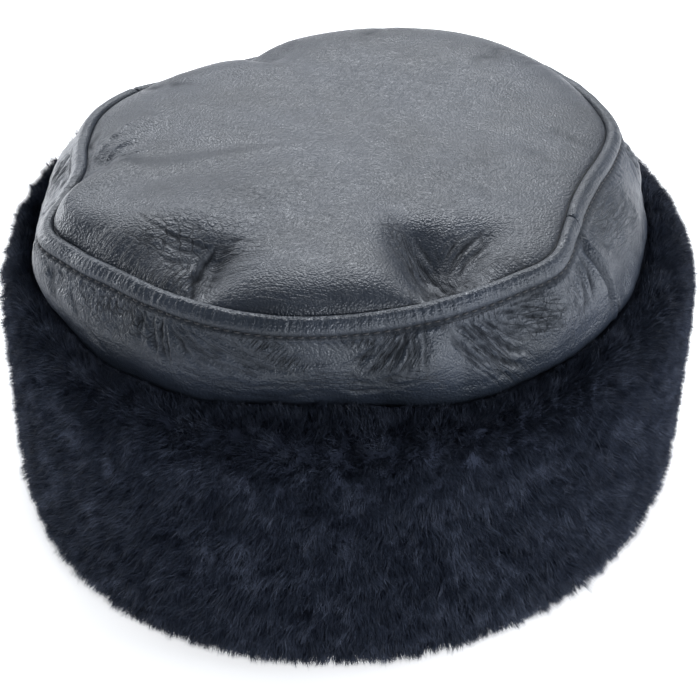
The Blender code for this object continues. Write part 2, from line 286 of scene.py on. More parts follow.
def wrinkles(x, y, cx, cy, direction, half_long, half_short, kind, size, stretch, depth, seed):
    """A patch of small creases: "lines" run along the direction, "cells" crack into a net."""
    a = math.radians(direction)
    out = np.zeros_like(x)
    reach = 1.6 * max(half_long, half_short)
    near = (np.abs(x - cx) < reach) & (np.abs(y - cy) < reach)
    if not near.any():
        return out
    px, py = x[near] - cx, y[near] - cy
    along, across = px * math.cos(a) + py * math.sin(a), -px * math.sin(a) + py * math.cos(a)
    mask = np.exp(-((along / half_long) ** 2 + (across / half_short) ** 2) ** 1.3)
    mask = mask * smooth(-0.55, 0.25, noise(x[near] / (3.2 * size), y[near] / (3.2 * size), seed + 7))
    warp = 0.45 * size
    u = (along + warp * noise(x[near] / (2.6 * size), y[near] / (2.6 * size), seed + 11)) / (size * stretch)
    v = (across + warp * noise(x[near] / (2.2 * size), y[near] / (2.2 * size), seed + 13)) / size
    if kind == "cells":
        line = 1.0 - np.clip(cracks(u, v, seed) / 0.42, 0.0, 1.0) ** 0.7
        fine = 1.0 - np.clip(cracks(u * 1.9 + 5.0, v * 1.9, seed + 3) / 0.42, 0.0, 1.0) ** 0.7
        line = np.maximum(line, 0.55 * fine)
    else:
        line = 1.0 - np.clip(np.abs(noise(u, v, seed)) / 0.42, 0.0, 1.0) ** 0.62
        fine = 1.0 - np.clip(np.abs(noise(u * 1.7 + 9.0, v * 2.1, seed + 3)) / 0.42, 0.0, 1.0) ** 0.62
        line = 0.75 * line + 0.4 * fine
    out[near] = -depth * mask * line
    return out


def fine_folds(x, y, rows):
    """The finest creases, which are left to the material: how strongly the leather nets and how strongly
    it pleats in lines at each point, and the place along and across those lines, mm."""
    net, best, second = np.zeros_like(x), np.zeros_like(x), np.zeros_like(x)
    along_line, across_line = x.copy(), y.copy()
    for cx, cy, direction, half_long, half_short, kind, _size, _stretch, depth in rows:
        a = math.radians(direction)
        along = (x - cx) * math.cos(a) + (y - cy) * math.sin(a)
        across = -(x - cx) * math.sin(a) + (y - cy) * math.cos(a)
        mask = np.exp(-((along / half_long) ** 2 + (across / half_short) ** 2)) * min(1.0, depth / 0.4)
        if kind == "cells":
            net = np.maximum(net, mask)
            continue
        nearer = mask > best
        second = np.where(nearer, best, np.maximum(second, mask))
        best = np.where(nearer, mask, best)
        along_line, across_line = np.where(nearer, along + cx, along_line), np.where(nearer, across + cy, across_line)
    lines = np.clip((best - second) * 2.5, 0.0, best)
    return np.stack((net, lines), -1), np.stack((along_line, across_line), -1)


def family(rows, seed, depth_scale=1.0, width_scale=1.0):
    """Creases of the rows of a table of fans: each row gives its first and its last line, and the lines
    between them wander, start late, stop early and vary in depth."""
    random = np.random.RandomState(seed)
    out = []
    for _name, ax1, ay1, ax2, ay2, bx1, by1, bx2, by2, count, bow, depth, half_width in rows:
        for k in range(count):
            share = (k + random.uniform(-0.3, 0.3)) / max(count - 1, 1)
            x1, y1 = ax1 + (bx1 - ax1) * share, ay1 + (by1 - ay1) * share
            x2, y2 = ax2 + (bx2 - ax2) * share, ay2 + (by2 - ay2) * share
            begin, end = random.uniform(0.0, 0.22), random.uniform(0.62, 1.08)
            deep = depth_scale * depth * random.uniform(0.4, 1.25)
            out.append((x1 + (x2 - x1) * begin, y1 + (y2 - y1) * begin, x1 + (x2 - x1) * end, y1 + (y2 - y1) * end,
                        bow * random.uniform(0.5, 1.4), deep, width_scale * half_width * random.uniform(0.8, 1.25),
                        0.45 * abs(deep) * (1.0 if random.uniform() < 0.5 else -1.0)))
    return out


# ---- creases and wrinkles of the top panel, mm in plan ----
TOP_FANS = (
    # name               first line                     last line                   count  bow  depth half_width
    ("left arm",         30.0, -56.0,  46.0, -75.0,     38.0, -47.0,  50.0, -62.0,   6,   1.2,  0.40, 0.70),
    ("right arm",        48.0, -41.5,  44.0, -52.0,     59.0, -45.0,  53.0, -59.0,   4,  -1.2,  0.32, 0.70),
    ("foot",             40.0, -63.0,  46.5, -79.0,     50.0, -56.0,  61.0, -68.5,   7,   0.6,  0.50, 0.75),
    ("across the foot",  39.0, -68.0,  50.0, -60.0,     44.0, -75.0,  57.0, -66.0,   4,   0.6,  0.30, 0.75),
    ("left fan",        -76.2, -38.5, -80.5, -14.0,    -72.0, -33.5, -61.0, -25.0,   6,   1.4, -0.32, 0.80),
    ("left of the dent",-21.5, -71.5, -42.0, -66.0,    -23.5, -80.0, -34.0, -84.0,   5,   1.2,  0.30, 0.65),
    ("net, downward",   -24.0, -66.0, -27.0, -76.0,    -42.0, -65.0, -38.0, -73.0,   6,   0.8,  0.20, 0.65),
    ("right of the dent",-19.5,-71.5, -10.5, -66.5,    -18.8, -84.0, -12.0, -85.0,   6,  -0.8,  0.36, 0.70),
    ("rear left rim",   -66.0,  56.0, -47.0,  47.0,    -50.0,  72.0, -38.0,  56.0,   4,   1.2,  0.14, 0.90),
    ("rear right rim",   28.0,  86.0,  24.0,  66.0,     48.0,  76.0,  36.0,  60.0,   4,   1.2,  0.14, 0.90),
    ("right rim",        84.0,  14.0,  66.0,  16.0,     82.0,  28.0,  66.0,  26.0,   4,   1.2,  0.12, 0.90),
)
TOP_CREASES = (
    # name                        x1     y1     x2     y2    bow  depth half_width ridge
    ("dent crease",             -20.0, -71.5, -18.5, -94.0, -1.6,  1.2,  0.9, -0.9),
    ("second crease",           -23.5, -76.0, -21.5, -92.0, -1.2,  0.5,  0.6, -0.3),
    ("third crease",            -27.0, -80.0, -25.0, -93.0, -0.8,  0.3,  0.6, -0.2),
    ("brow of the dent",        -20.0, -72.0, -37.0, -70.5,  1.2,  0.55, 0.6, -0.3),
    ("brow, far end",           -36.0, -71.0, -46.0, -66.0,  0.8,  0.3,  0.6, -0.2),
    ("under the brow",          -22.0, -74.0, -36.0, -75.0,  1.4,  0.40, 0.55, 0.1),
    ("low branch",              -23.5, -78.5, -33.0, -81.5,  0.8,  0.35, 0.55, 0.1),
    ("cross link 1",            -29.0, -71.5, -31.5, -77.5,  0.6,  0.30, 0.5,  0.1),
    ("cross link 2",            -25.0, -70.5, -26.0, -65.0,  0.5,  0.25, 0.5,  0.1),
    ("right branch 1",          -20.0, -72.5, -11.5, -69.0, -0.8,  0.40, 0.55, 0.1),
    ("right branch 2",          -19.5, -75.5, -10.5, -73.8, -0.6,  0.40, 0.55, 0.1),
    ("right branch 3",          -19.5, -78.5, -11.0, -79.2, -0.5,  0.35, 0.55, 0.1),
    ("right branch 4",          -19.0, -81.5, -13.0, -83.5, -0.4,  0.30, 0.55, 0.1),
    ("left arm 1",               30.0, -54.0,  53.0, -75.0,  2.0,  0.60, 0.70, 0.3),
    ("left arm 2",               31.5, -48.5,  56.0, -71.5,  1.8,  0.75, 0.70, 0.35),
    ("left arm 3",               35.0, -46.5,  48.5, -62.0,  1.0,  0.60, 0.65, 0.3),
    ("left arm 4",               29.0, -58.0,  44.0, -73.5,  1.4,  0.40, 0.65, 0.2),
    ("left arm 5",               39.0, -47.5,  46.5, -58.0,  0.5,  0.40, 0.60, 0.2),
    ("left arm 6",               33.0, -52.0,  50.0, -70.0,  1.2,  0.45, 0.55, 0.2),
    ("left arm 7",               29.0, -56.0,  41.0, -66.0,  1.0,  0.30, 0.55, 0.1),
    ("right arm 1",              54.5, -39.0,  47.5, -56.0, -1.4,  0.70, 0.65,-0.3),
    ("right arm 2",              57.5, -42.0,  50.5, -60.0, -1.6,  0.45, 0.65,-0.2),
    ("right arm 3",              51.0, -40.0,  45.5, -52.5, -1.0,  0.50, 0.60,-0.2),
    ("right arm 4",              48.0, -42.0,  43.5, -50.0, -0.6,  0.30, 0.60,-0.1),
    ("right arm 5",              60.5, -46.0,  53.0, -60.0, -1.2,  0.25, 0.55,-0.1),
    ("foot 1",                   46.0, -56.0,  57.5, -72.5,  0.7,  0.70, 0.65, 0.3),
    ("foot 2",                   43.0, -60.0,  53.5, -76.5,  0.6,  0.60, 0.60, 0.3),
    ("foot 3",                   41.0, -64.0,  48.5, -78.5,  0.4,  0.45, 0.60, 0.2),
    ("foot 4",                   49.0, -57.5,  60.0, -69.0,  0.5,  0.40, 0.55, 0.2),
    ("foot, crossing",           40.5, -71.5,  54.0, -64.5,  0.8,  0.30, 0.60, 0.1),
    ("fold, dark side",         -77.5, -37.5, -84.5, -10.0,  0.6,  0.35, 1.6,  0.1),
    ("fold edge",               -76.0, -38.5, -81.6, -12.0,  0.8, -0.70, 0.8,  0.0),
    ("fan 1",                   -75.4, -37.5, -71.5,  -2.0,  3.4, -0.70, 0.80,  0.0),
    ("fan 2",                   -75.0, -36.5, -77.5, -14.0,  1.6, -0.60, 0.80,  0.0),
    ("fan 3",                   -74.5, -35.5, -69.2, -15.0,  1.6, -0.70, 0.80,  0.0),
    ("fan 4",                   -74.0, -34.5, -69.0, -21.0,  1.0, -0.60, 0.75, 0.0),
    ("fan 5",                   -73.6, -34.3, -61.6, -21.8,  1.2, -0.80, 0.85, 0.0),
    ("fan 6",                   -72.5, -34.0, -63.5, -26.0,  0.8, -0.55, 0.75, 0.0),
    ("between 1",               -75.2, -36.0, -74.0, -14.0,  2.4,  0.25, 0.8,  0.0),
    ("between 2",               -74.0, -34.5, -67.0, -18.0,  1.6,  0.25, 0.8,  0.0),
    ("long line",               -66.7, -26.3, -45.5, -17.9,  0.6, -0.22, 0.8,  0.0),
    ("right rim dip 1",          80.0,  22.0,  58.0,  28.0,  1.5,  0.25, 3.2,  0.2),
    ("right rim dip 2",          74.0,   6.0,  50.0,  13.0,  1.5,  0.2,  3.2,  0.2),
    ("rear rim dip 1",           34.0,  82.0,  26.0,  60.0,  1.5,  0.3,  3.0,  0.2),
    ("rear rim dip 2",          -12.0,  90.0, -16.0,  66.0, -1.5,  0.3,  3.2,  0.2),
    ("rear rim dip 3",          -60.0,  58.0, -42.0,  46.0,  1.5,  0.35, 2.8,  0.2),
    ("left rim dip",            -85.0,  20.0, -64.0,  24.0,  1.5,  0.4,  3.0,  0.3),
)
TOP_WRINKLES = (
    # name                     x      y   direction long short  kind     size stretch depth
    ("left of the dent",     -32.0, -73.0,   14.0, 13.0,  5.5, "cells",  3.0,  1.5, 0.36),
    ("above the dent",       -26.0, -66.0,   10.0, 20.0,  6.0, "cells",  3.0,  1.4, 0.16),
    ("right of the dent",    -12.0, -75.0,   15.0,  7.0,  7.0, "lines",  2.2,  2.2, 0.40),
    ("dent wall",            -24.0, -86.0,   95.0,  8.0,  8.0, "lines",  1.9,  3.0, 0.40),
    ("left apex",             30.0, -49.5,  -47.0,  7.0,  3.5, "cells",  2.6,  2.0, 0.26),
    ("left arm field",        38.5, -58.5,  -48.0, 15.0,  4.5, "lines",  2.0,  4.0, 0.40),
    ("right apex",            55.0, -41.5,   70.0,  4.5,  3.5, "cells",  2.6,  2.0, 0.18),
    ("right arm field",       52.0, -48.0,   68.0,  7.5,  4.0, "lines",  1.9,  4.0, 0.34),
    ("foot field",            49.0, -69.0,  -55.0, 10.0,  7.0, "lines",  1.7,  3.5, 0.45),
    ("fan field",            -75.0, -22.0,   92.0, 13.0,  5.0, "lines",  1.6,  6.0, 0.08),
    ("fan focus field",      -69.0, -28.0,   48.0,  8.0,  3.5, "lines",  1.5,  5.0, 0.10),
    ("right slope",           64.0, -52.0,   35.0, 12.0,  8.0, "lines",  2.4,  3.0, 0.09),
    ("brow wall",              8.0, -89.0,    5.0, 26.0,  4.0, "lines",  2.2,  3.0, 0.09),
    ("middle left",          -22.0, -42.0,   20.0, 24.0, 16.0, "cells",  3.4,  1.4, 0.07),
    ("middle right",          40.0, -10.0,   20.0, 26.0, 18.0, "cells",  3.6,  1.4, 0.05),
    ("rear middle",            0.0,  40.0,   10.0, 34.0, 22.0, "cells",  3.8,  1.4, 0.05),
    ("rear right rim",        40.0,  76.0,   60.0, 13.0,  9.0, "lines",  2.6,  3.0, 0.09),
    ("rear left rim",        -48.0,  62.0,  -30.0, 13.0,  8.0, "lines",  2.6,  3.0, 0.10),
)

# ---- creases and wrinkles of the side panel: angle in degrees, down in mm below the stitches ----
ARC = math.radians(98.0)      # mm around the panel for a degree
SIDE_CREASES = (
    # name                    angle1  down1  angle2  down2  bow  depth half_width ridge
    ("upright pair 1",        -107.5,  0.5, -105.0, 12.0,  0.8,  0.9,  1.0,  0.4),
    ("upright pair 2",        -105.3,  1.0, -102.5, 13.0,  0.8,  0.8,  1.0,  0.4),
    ("upright pair 3",        -109.5,  1.0, -108.3,  9.0,  0.4,  0.5,  0.8,  0.2),
    ("sweep 1",               -103.5,  1.0,  -92.0, 13.5,  2.4,  0.5,  0.9,  0.2),
    ("sweep 2",               -102.0,  0.5,  -86.0, 12.5,  3.2,  0.5,  0.9,  0.2),
    ("sweep 3",               -100.0,  0.5,  -81.0, 10.5,  3.0,  0.5,  0.9,  0.2),
    ("sweep 4",                -97.0,  0.5,  -76.0,  8.5,  2.6,  0.4,  0.9,  0.2),
    ("long line 1",            -99.0, 14.0,  -76.0, 15.5,  1.6,  0.3,  1.0,  0.1),
    ("long line 2",            -96.0, 18.0,  -70.0, 17.5,  1.6,  0.3,  1.1,  0.1),
    ("fan a 1",                -62.5, -0.5,  -66.5,  9.0, -0.8,  0.8,  0.9,  0.3),
    ("fan a 2",                -63.5,  0.0,  -70.5, 11.5, -1.4,  0.7,  0.9,  0.3),
    ("fan a 3",                -65.0,  0.0,  -74.0, 10.0, -1.4,  0.5,  0.9,  0.2),
    ("fan a 4",                -61.8,  0.0,  -63.5, 13.0, -0.8,  0.6,  0.9,  0.2),
    ("fan a 5",                -60.5,  0.0,  -60.5, 13.5, -0.6,  0.5,  0.9,  0.2),
    ("fan a 6",                -64.5, 12.0,  -73.5, 15.5, -1.2,  0.4,  0.9,  0.2),
    ("slant 1",                -56.5,  0.0,  -45.5, 19.5,  1.2,  0.7,  1.0,  0.3),
    ("slant 2",                -54.5, -0.5,  -42.5, 19.0,  1.4,  1.0,  1.0,  0.5),
    ("slant 3",                -52.5, -0.5,  -41.0, 15.5,  1.2,  1.0,  0.9,  0.5),
    ("slant 4",                -50.5,  0.0,  -41.0, 11.0,  0.9,  0.7,  0.9,  0.3),
    ("slant 5",                -48.3,  0.5,  -40.0,  8.5,  0.7,  0.6,  0.8,  0.3),
    ("crumple 1",              -47.0,  2.0,  -35.0,  5.5, -0.8,  0.7,  0.8,  0.3),
    ("crumple 2",              -45.5,  4.5,  -34.0,  9.0, -0.8,  0.7,  0.8,  0.3),
    ("crumple 3",              -44.0,  0.3,  -33.5,  2.5, -0.6,  0.6,  0.8,  0.3),
    ("crumple 4",              -42.0,  7.5,  -33.0, 12.5, -0.8,  0.5,  0.8,  0.2),
    ("by the upright seam 1",  -21.5,  0.5,  -23.5, 12.0, -0.6,  0.8,  1.1,  0.4),
    ("by the upright seam 2",  -24.0,  1.0,  -27.5, 14.0, -0.8,  0.5,  1.1,  0.3),
    ("beyond the seam 1",      -13.0,  1.0,   -9.5, 10.0,  0.8,  0.4,  1.1,  0.2),
    ("beyond the seam 2",      -11.5,  0.5,   -4.0,  7.5,  0.8,  0.4,  1.1,  0.2),
    ("left turn 1",           -131.0,  1.0, -128.0, 14.0,  0.8,  0.4,  1.2,  0.2),
    ("left turn 2",           -126.0,  1.0, -121.5, 13.0,  0.8,  0.4,  1.2,  0.2),
    ("right 1",                 24.0,  0.0,   32.0, 12.0,  1.2,  0.7,  1.0,  0.3),
    ("right 2",                 26.5,  0.0,   36.0, 10.0,  1.2,  0.6,  1.0,  0.3),
    ("right 3",                 23.0,  0.0,   22.0, 13.0, -0.8,  0.6,  1.0,  0.3),
    ("back 1",                  66.0, -0.5,   58.0, 16.0, -1.4,  0.8,  1.0,  0.4),
    ("back 2",                  68.0,  0.0,   61.5, 14.0, -1.2,  0.7,  1.0,  0.4),
    ("back 3",                  70.5,  0.0,   68.5, 15.0, -0.8,  0.6,  1.0,  0.3),
    ("back 4",                  98.0,  0.0,  106.0, 15.5,  1.4,  0.8,  1.0,  0.4),
    ("back 5",                 100.0,  0.0,  110.0, 12.0,  1.2,  0.6,  1.0,  0.3),
    ("back 6",                  96.0,  0.0,   97.0, 14.0,  0.8,  0.5,  1.0,  0.3),
    ("back 7",                 135.0,  0.0,  127.0, 15.0, -1.4,  0.8,  1.0,  0.4),
    ("back 8",                 137.0,  0.0,  131.5, 13.0, -1.0,  0.6,  1.0,  0.3),
    ("left 1",                 177.0,  0.0,  170.0, 13.0, -1.0,  0.7,  1.0,  0.3),
    ("left 2",                -170.0,  0.0, -162.5, 14.0,  1.0,  0.7,  1.0,  0.3),
    ("left 3",                -167.5,  0.0, -158.0, 10.0,  1.0,  0.5,  1.0,  0.3),
    ("left 4",                -152.0,  0.0, -154.0, 13.0, -0.8,  0.6,  1.0,  0.3),
)
SIDE_FANS = (
    # name                 first line                    last line                  count  bow  depth half_width
    ("fan a",             -60.5, -0.5,  -59.5, 14.0,    -66.0,  0.0,  -75.5, 11.0,   12,  -1.2,  0.80, 0.75),
    ("fan a, low",        -60.0, 13.5,  -70.0, 16.0,    -62.0, 17.0,  -76.0, 17.5,    5,  -0.8,  0.40, 0.80),
    ("slants",            -57.5,  0.0,  -47.5, 20.5,    -49.5,  0.0,  -39.5,  9.5,   10,   1.2,  0.85, 0.80),
    ("crumples",          -48.0,  0.8,  -35.0,  3.5,    -45.0,  8.5,  -32.0, 14.0,    9,  -0.8,  0.70, 0.75),
    ("crumples, crossing",-44.0,  1.0,  -41.5, 10.0,    -35.0,  1.5,  -34.0, 10.0,    5,   0.6,  0.35, 0.75),
    ("pulls, left",      -130.0, -0.2, -127.0,  4.5,    -97.0, -0.2,  -93.5,  4.5,   30,   0.5,  0.45, 0.65),
    ("band of creases",  -128.0,  3.0, -119.0,  5.5,   -106.0,  2.5,  -97.5,  4.5,   10,   0.8,  0.32, 0.75),
    ("band, lower",      -126.0,  7.0, -116.0,  9.0,   -110.0,  6.5, -101.0,  8.5,    7,   0.8,  0.22, 0.80),
    ("uprights",         -110.0,  0.5, -108.0, 10.0,   -104.0,  0.5, -101.5, 13.0,    5,   0.8,  0.75, 0.85),
    ("sweeps",           -104.0,  1.0,  -93.0, 14.5,    -94.0,  0.2,  -72.0,  8.0,   12,   2.4,  0.45, 0.75),
    ("long lines",       -101.0, 13.0,  -79.0, 16.5,    -96.0, 20.0,  -66.0, 19.0,    9,   1.6,  0.32, 0.80),
    ("pulls, middle",     -93.0, -0.2,  -90.5,  4.0,    -69.0, -0.2,  -66.5,  4.5,   18,   0.5,  0.40, 0.65),
    ("pulls, right",      -57.0, -0.2,  -56.0,  3.5,    -22.0, -0.2,  -23.0,  5.0,   20,   0.4,  0.42, 0.65),
    ("by the seam",       -20.5,  1.0,  -22.0, 15.0,    -30.0,  1.5,  -34.0, 14.0,    6,  -0.8,  0.50, 0.85),
    ("beyond the seam",   -13.0,  1.5,   -6.0,  5.5,    -12.0, 10.0,   -3.0, 13.5,    8,   0.8,  0.38, 0.80),
    ("right panel",        -3.0,  1.0,    9.0,  2.5,     -2.0, 12.0,   10.0, 13.0,    8,   0.8,  0.30, 0.80),
    ("left turn",        -137.0,  2.0, -133.0, 16.0,   -122.0, 10.0, -116.0, 19.0,    9,   0.8,  0.34, 0.90),
    ("right fan",          23.0,  0.0,   20.0, 14.0,     29.0,  0.0,   40.0,  9.0,   10,   1.2,  0.60, 0.85),
    ("right pulls",        12.0, -0.2,   13.0,  4.5,     60.0, -0.2,   59.0,  4.5,   26,   0.4,  0.42, 0.70),
    ("rear fan 1",         65.5,  0.0,   56.0, 14.0,     73.0,  0.0,   75.0, 15.0,   11,  -1.2,  0.65, 0.90),
    ("rear fan 2",         95.0,  0.0,   92.0, 14.0,    102.0,  0.0,  114.0, 10.0,   10,   1.2,  0.65, 0.90),
    ("rear pulls",         78.0, -0.2,   79.0,  4.5,    132.0, -0.2,  130.0,  4.5,   30,   0.4,  0.42, 0.75),
    ("rear long lines",    78.0, 12.5,  106.0, 14.0,     84.0, 19.0,  124.0, 18.0,    8,   1.4,  0.34, 0.90),
    ("rear fan 3",        134.0,  0.0,  124.0, 14.0,    141.0,  0.0,  142.0, 15.0,   10,  -1.2,  0.60, 0.90),
    ("left fan",          172.0,  0.0,  163.0, 12.0,    179.0,  0.0,  180.0, 15.0,    8,  -1.0,  0.60, 0.90),
    ("left fan 2",       -172.0,  0.0, -170.0, 14.0,   -165.0,  0.0, -155.0,  9.0,    8,   1.0,  0.60, 0.90),
    ("left pulls",       -164.0, -0.2, -162.0,  4.5,   -134.0, -0.2, -131.0,  5.0,   18,   0.4,  0.45, 0.70),
    ("left turn 2",      -158.0,  2.0, -153.0, 14.0,   -143.0,  2.0, -139.0, 15.0,    8,   0.8,  0.40, 0.90),
)
SIDE_SWELLS = (
    # name                angle   down  half_around half_down  rise
    ("left bulge",       -124.0,   9.0,   14.0,        7.0,     1.4),
    ("by the uprights",  -107.0,   8.0,    5.0,        9.0,    -0.9),
    ("front hollow",      -80.0,   4.0,   20.0,        5.0,    -0.9),
    ("front belly",       -90.0,  15.0,   22.0,        5.0,     0.7),
    ("fan bulge",         -60.5,   9.0,    8.5,        8.0,     2.9),
    ("left of the fan",   -71.0,   8.0,    5.5,        7.0,    -1.0),
    ("slant bulge",       -49.5,  12.0,    5.0,        7.0,     0.9),
    ("slant hollow",      -53.5,   9.0,    3.0,        9.0,    -0.9),
    ("right bulge",       -34.0,   8.0,    9.0,        8.0,     1.4),
    ("by the seam",       -18.0,   8.0,    6.0,        9.0,     0.9),
    ("right panel",         4.0,   8.0,   14.0,        7.0,     1.0),
    ("rear right bulge",   44.0,   8.0,   11.0,        8.0,     1.3),
    ("rear hollow",        63.0,   7.0,    7.0,        8.0,    -1.0),
    ("rear bulge",         84.0,   9.0,   12.0,        7.0,     1.5),
    ("rear hollow, left", 104.0,   7.0,    6.0,        8.0,    -1.0),
    ("rear left bulge",   120.0,   8.0,   10.0,        8.0,     1.4),
    ("left side bulge",   154.0,   9.0,   12.0,        8.0,     1.2),
    ("left side hollow", -166.0,   7.0,    7.0,        8.0,    -0.8),
    ("left rear bulge",  -150.0,   9.0,    9.0,        8.0,     0.9),
)
SIDE_WRINKLES = (
    # name                   angle   down  direction long short  kind     size stretch depth
    ("under the stitches 1", -112.0,   1.8,   70.0,  3.4, 26.0, "lines",  1.9,  1.9, 0.62),
    ("crinkled band",        -113.0,   4.5,   15.0, 22.0,  4.0, "cells",  2.8,  1.5, 0.45),
    ("left of the uprights", -118.0,   9.0,    8.0, 18.0,  7.0, "cells",  3.0,  1.8, 0.22),
    ("pulls 1",               -88.0,   1.6,  125.0,  3.2, 20.0, "lines",  1.7,  2.4, 0.42),
    ("pulls 2",               -70.0,   1.6,  115.0,  3.2, 12.0, "lines",  1.7,  2.4, 0.42),
    ("sweeping lines",        -92.0,   9.0,   24.0, 22.0,  6.0, "lines",  1.9,  6.0, 0.25),
    ("long lines",            -82.0,  14.0,    2.0, 38.0,  6.0, "lines",  2.0,  8.0, 0.18),
    ("fan field",             -66.5,   6.0,  122.0, 10.0,  8.0, "lines",  1.7,  4.0, 0.35),
    ("fan cross lines",       -64.0,  13.5,    8.0, 12.0,  4.0, "lines",  1.8,  3.5, 0.28),
    ("slant field",           -48.5,   8.0,   47.0, 16.0,  7.0, "lines",  1.9,  5.0, 0.35),
    ("crumple field",         -39.5,   5.0,   15.0, 14.0,  6.0, "lines",  2.1,  2.6, 0.60),
    ("crumple cells",         -37.0,   8.5,   10.0, 13.0,  5.0, "cells",  3.0,  2.0, 0.35),
    ("right pulls",           -47.0,   1.2,   95.0,  3.0, 22.0, "lines",  1.7,  2.0, 0.40),
    ("corner field",          -28.0,   9.0,   80.0, 11.0, 10.0, "lines",  2.2,  4.0, 0.18),
    ("right panel lines",      -2.0,   5.0,    6.0, 18.0,  9.0, "lines",  2.1,  4.0, 0.24),
    ("left turn",            -128.0,   7.0,   95.0,  9.0, 13.0, "lines",  2.1,  3.5, 0.20),
    ("far left pulls",       -145.0,   2.0,   95.0,  4.0, 15.0, "lines",  1.9,  2.0, 0.35),
    ("left field",           -165.0,   6.0,   60.0, 12.0, 10.0, "lines",  2.0,  3.5, 0.30),
    ("rear left field",       168.0,   6.0,  120.0, 11.0, 12.0, "lines",  2.0,  3.5, 0.30),
    ("rear pulls 1",          134.0,   2.0,   85.0,  4.0, 18.0, "lines",  1.9,  2.2, 0.45),
    ("rear field 1",          131.0,   8.0,  118.0, 11.0,  9.0, "lines",  2.0,  4.0, 0.32),
    ("rear long lines",       112.0,  13.0,    0.0, 36.0,  6.0, "lines",  2.1,  7.0, 0.20),
    ("rear field 2",          103.0,   6.0,   60.0, 12.0,  9.0, "lines",  2.0,  4.0, 0.32),
    ("rear pulls 2",           84.0,   2.0,   95.0,  4.0, 24.0, "lines",  1.9,  2.0, 0.40),
    ("rear field 3",           64.0,   7.0,  118.0, 12.0,  9.0, "lines",  2.0,  4.0, 0.34),
    ("rear cells",             48.0,   6.0,   10.0, 18.0,  6.0, "cells",  3.0,  2.0, 0.34),
    ("right field",            30.0,   6.0,   50.0, 11.0,  9.0, "lines",  2.0,  4.0, 0.34),
)


# ---- meshes from arrays ----
def make_mesh(name, points, faces, material=None, uvs=None, panel=None, marks=None, flow=None):
    """A named object from points in mm and a list of face arrays, each of one corner count."""
    mesh = bpy.data.meshes.new(name)
    points = np.asarray(points, np.float64)
    mesh.vertices.add(len(points))
    mesh.vertices.foreach_set("co", (points * MM).astype(np.float32).ravel())
    corners = np.concatenate([f.ravel() for f in faces]).astype(np.int32)
    counts = np.concatenate([np.full(len(f), f.shape[1]) for f in faces])
    mesh.loops.add(len(corners))
    mesh.loops.foreach_set("vertex_index", corners)
    mesh.polygons.add(len(counts))
    mesh.polygons.foreach_set("loop_start", (np.cumsum(counts) - counts).astype(np.int32))
    mesh.update(calc_edges=True)
    mesh.shade_smooth()
    if marks is not None:
        layer = mesh.attributes.new("marks", "FLOAT_COLOR", "POINT")
        whole = np.zeros((len(points), 4), np.float32)
        whole[:len(marks), :3] = marks
        layer.data.foreach_set("color", whole.ravel())
    if flow is not None:
        flow = np.concatenate((flow, np.zeros((len(points) - len(flow), 2))))
    for layer, values in (("OFBake", uvs), ("panel", panel), ("flow", flow)):
        if values is not None:
            data = mesh.uv_layers.new(name=layer)
            data.data.foreach_set("uv", np.asarray(values, np.float32)[corners].ravel())
    obj = bpy.data.objects.new(name, mesh)
    bpy.context.scene.collection.objects.link(obj)
    if material is not None:
        mesh.materials.append(material)
    return obj


def grid_faces(rows, columns, start=0, flip=False):
    i, j = np.meshgrid(np.arange(rows - 1), np.arange(columns - 1), indexing="ij")
    a = start + i * columns + j
    quads = np.stack((a, a + 1, a + columns + 1, a + columns), -1).reshape(-1, 4)
    return quads[:, ::-1] if flip else quads


def grid_normals(points):
    """Unit normals of a grid of points, from its neighbours."""
    n = np.cross(np.gradient(points, axis=0), np.gradient(points, axis=1))
    return n / np.maximum(np.linalg.norm(n, axis=-1, keepdims=True), 1e-9)


# ---- the top panel ----
TOP_CELLS = 280              # grid cells across, a multiple of INNER
INNER = 4                    # inner faces are this much coarser


def angle_from_back(angle):
    return (angle + 180.0) % 360.0 - 180.0


def top_surface(x, y, angle, t):
    """Wrinkles of the top panel, mm, added along its normal, and how deep in a crease each point is, 0 to 1, which
    the material darkens as painted shade.
    """
    lowest, highest = np.zeros_like(x), np.zeros_like(x)
    for values in [row[1:] for row in TOP_CREASES] + family(TOP_FANS, 5):
        one = crease(x, y, *values)
        lowest, highest = np.minimum(lowest, one), np.maximum(highest, one)
    h = lowest + highest
    for seed, (_name, *values) in enumerate(TOP_WRINKLES):
        h += 0.4 * wrinkles(x, y, *values, 100 + 17 * seed)
    # painted shade: the deeper a crease, the darker the material paints it
    crease_shade = np.clip(-h / 0.55, 0.0, 1.0) ** 1.3
    turned = angle_from_back(angle)
    wall = smooth(0.86, 0.93, t)
    arc = turned * ARC
    # the steep front walls are drawn into fine upright pleats by the seam
    pleats = np.abs(noise(arc / 1.5, t * 9.0, 31)) - 0.25
    left_wall = smooth(-142.0, -134.0, turned) * (1.0 - smooth(-106.0, -98.0, turned))
    right_wall = smooth(-66.0, -58.0, turned) * (1.0 - smooth(-40.0, -34.0, turned))
    h += wall * pleats * (0.15 * left_wall + 0.12 * right_wall + 0.06)
    h += 0.20 * noise(x / 33.0 + 3.0, y / 28.0, 41) + 0.03 * noise(x / 11.0, y / 12.0, 43)
    return h, crease_shade


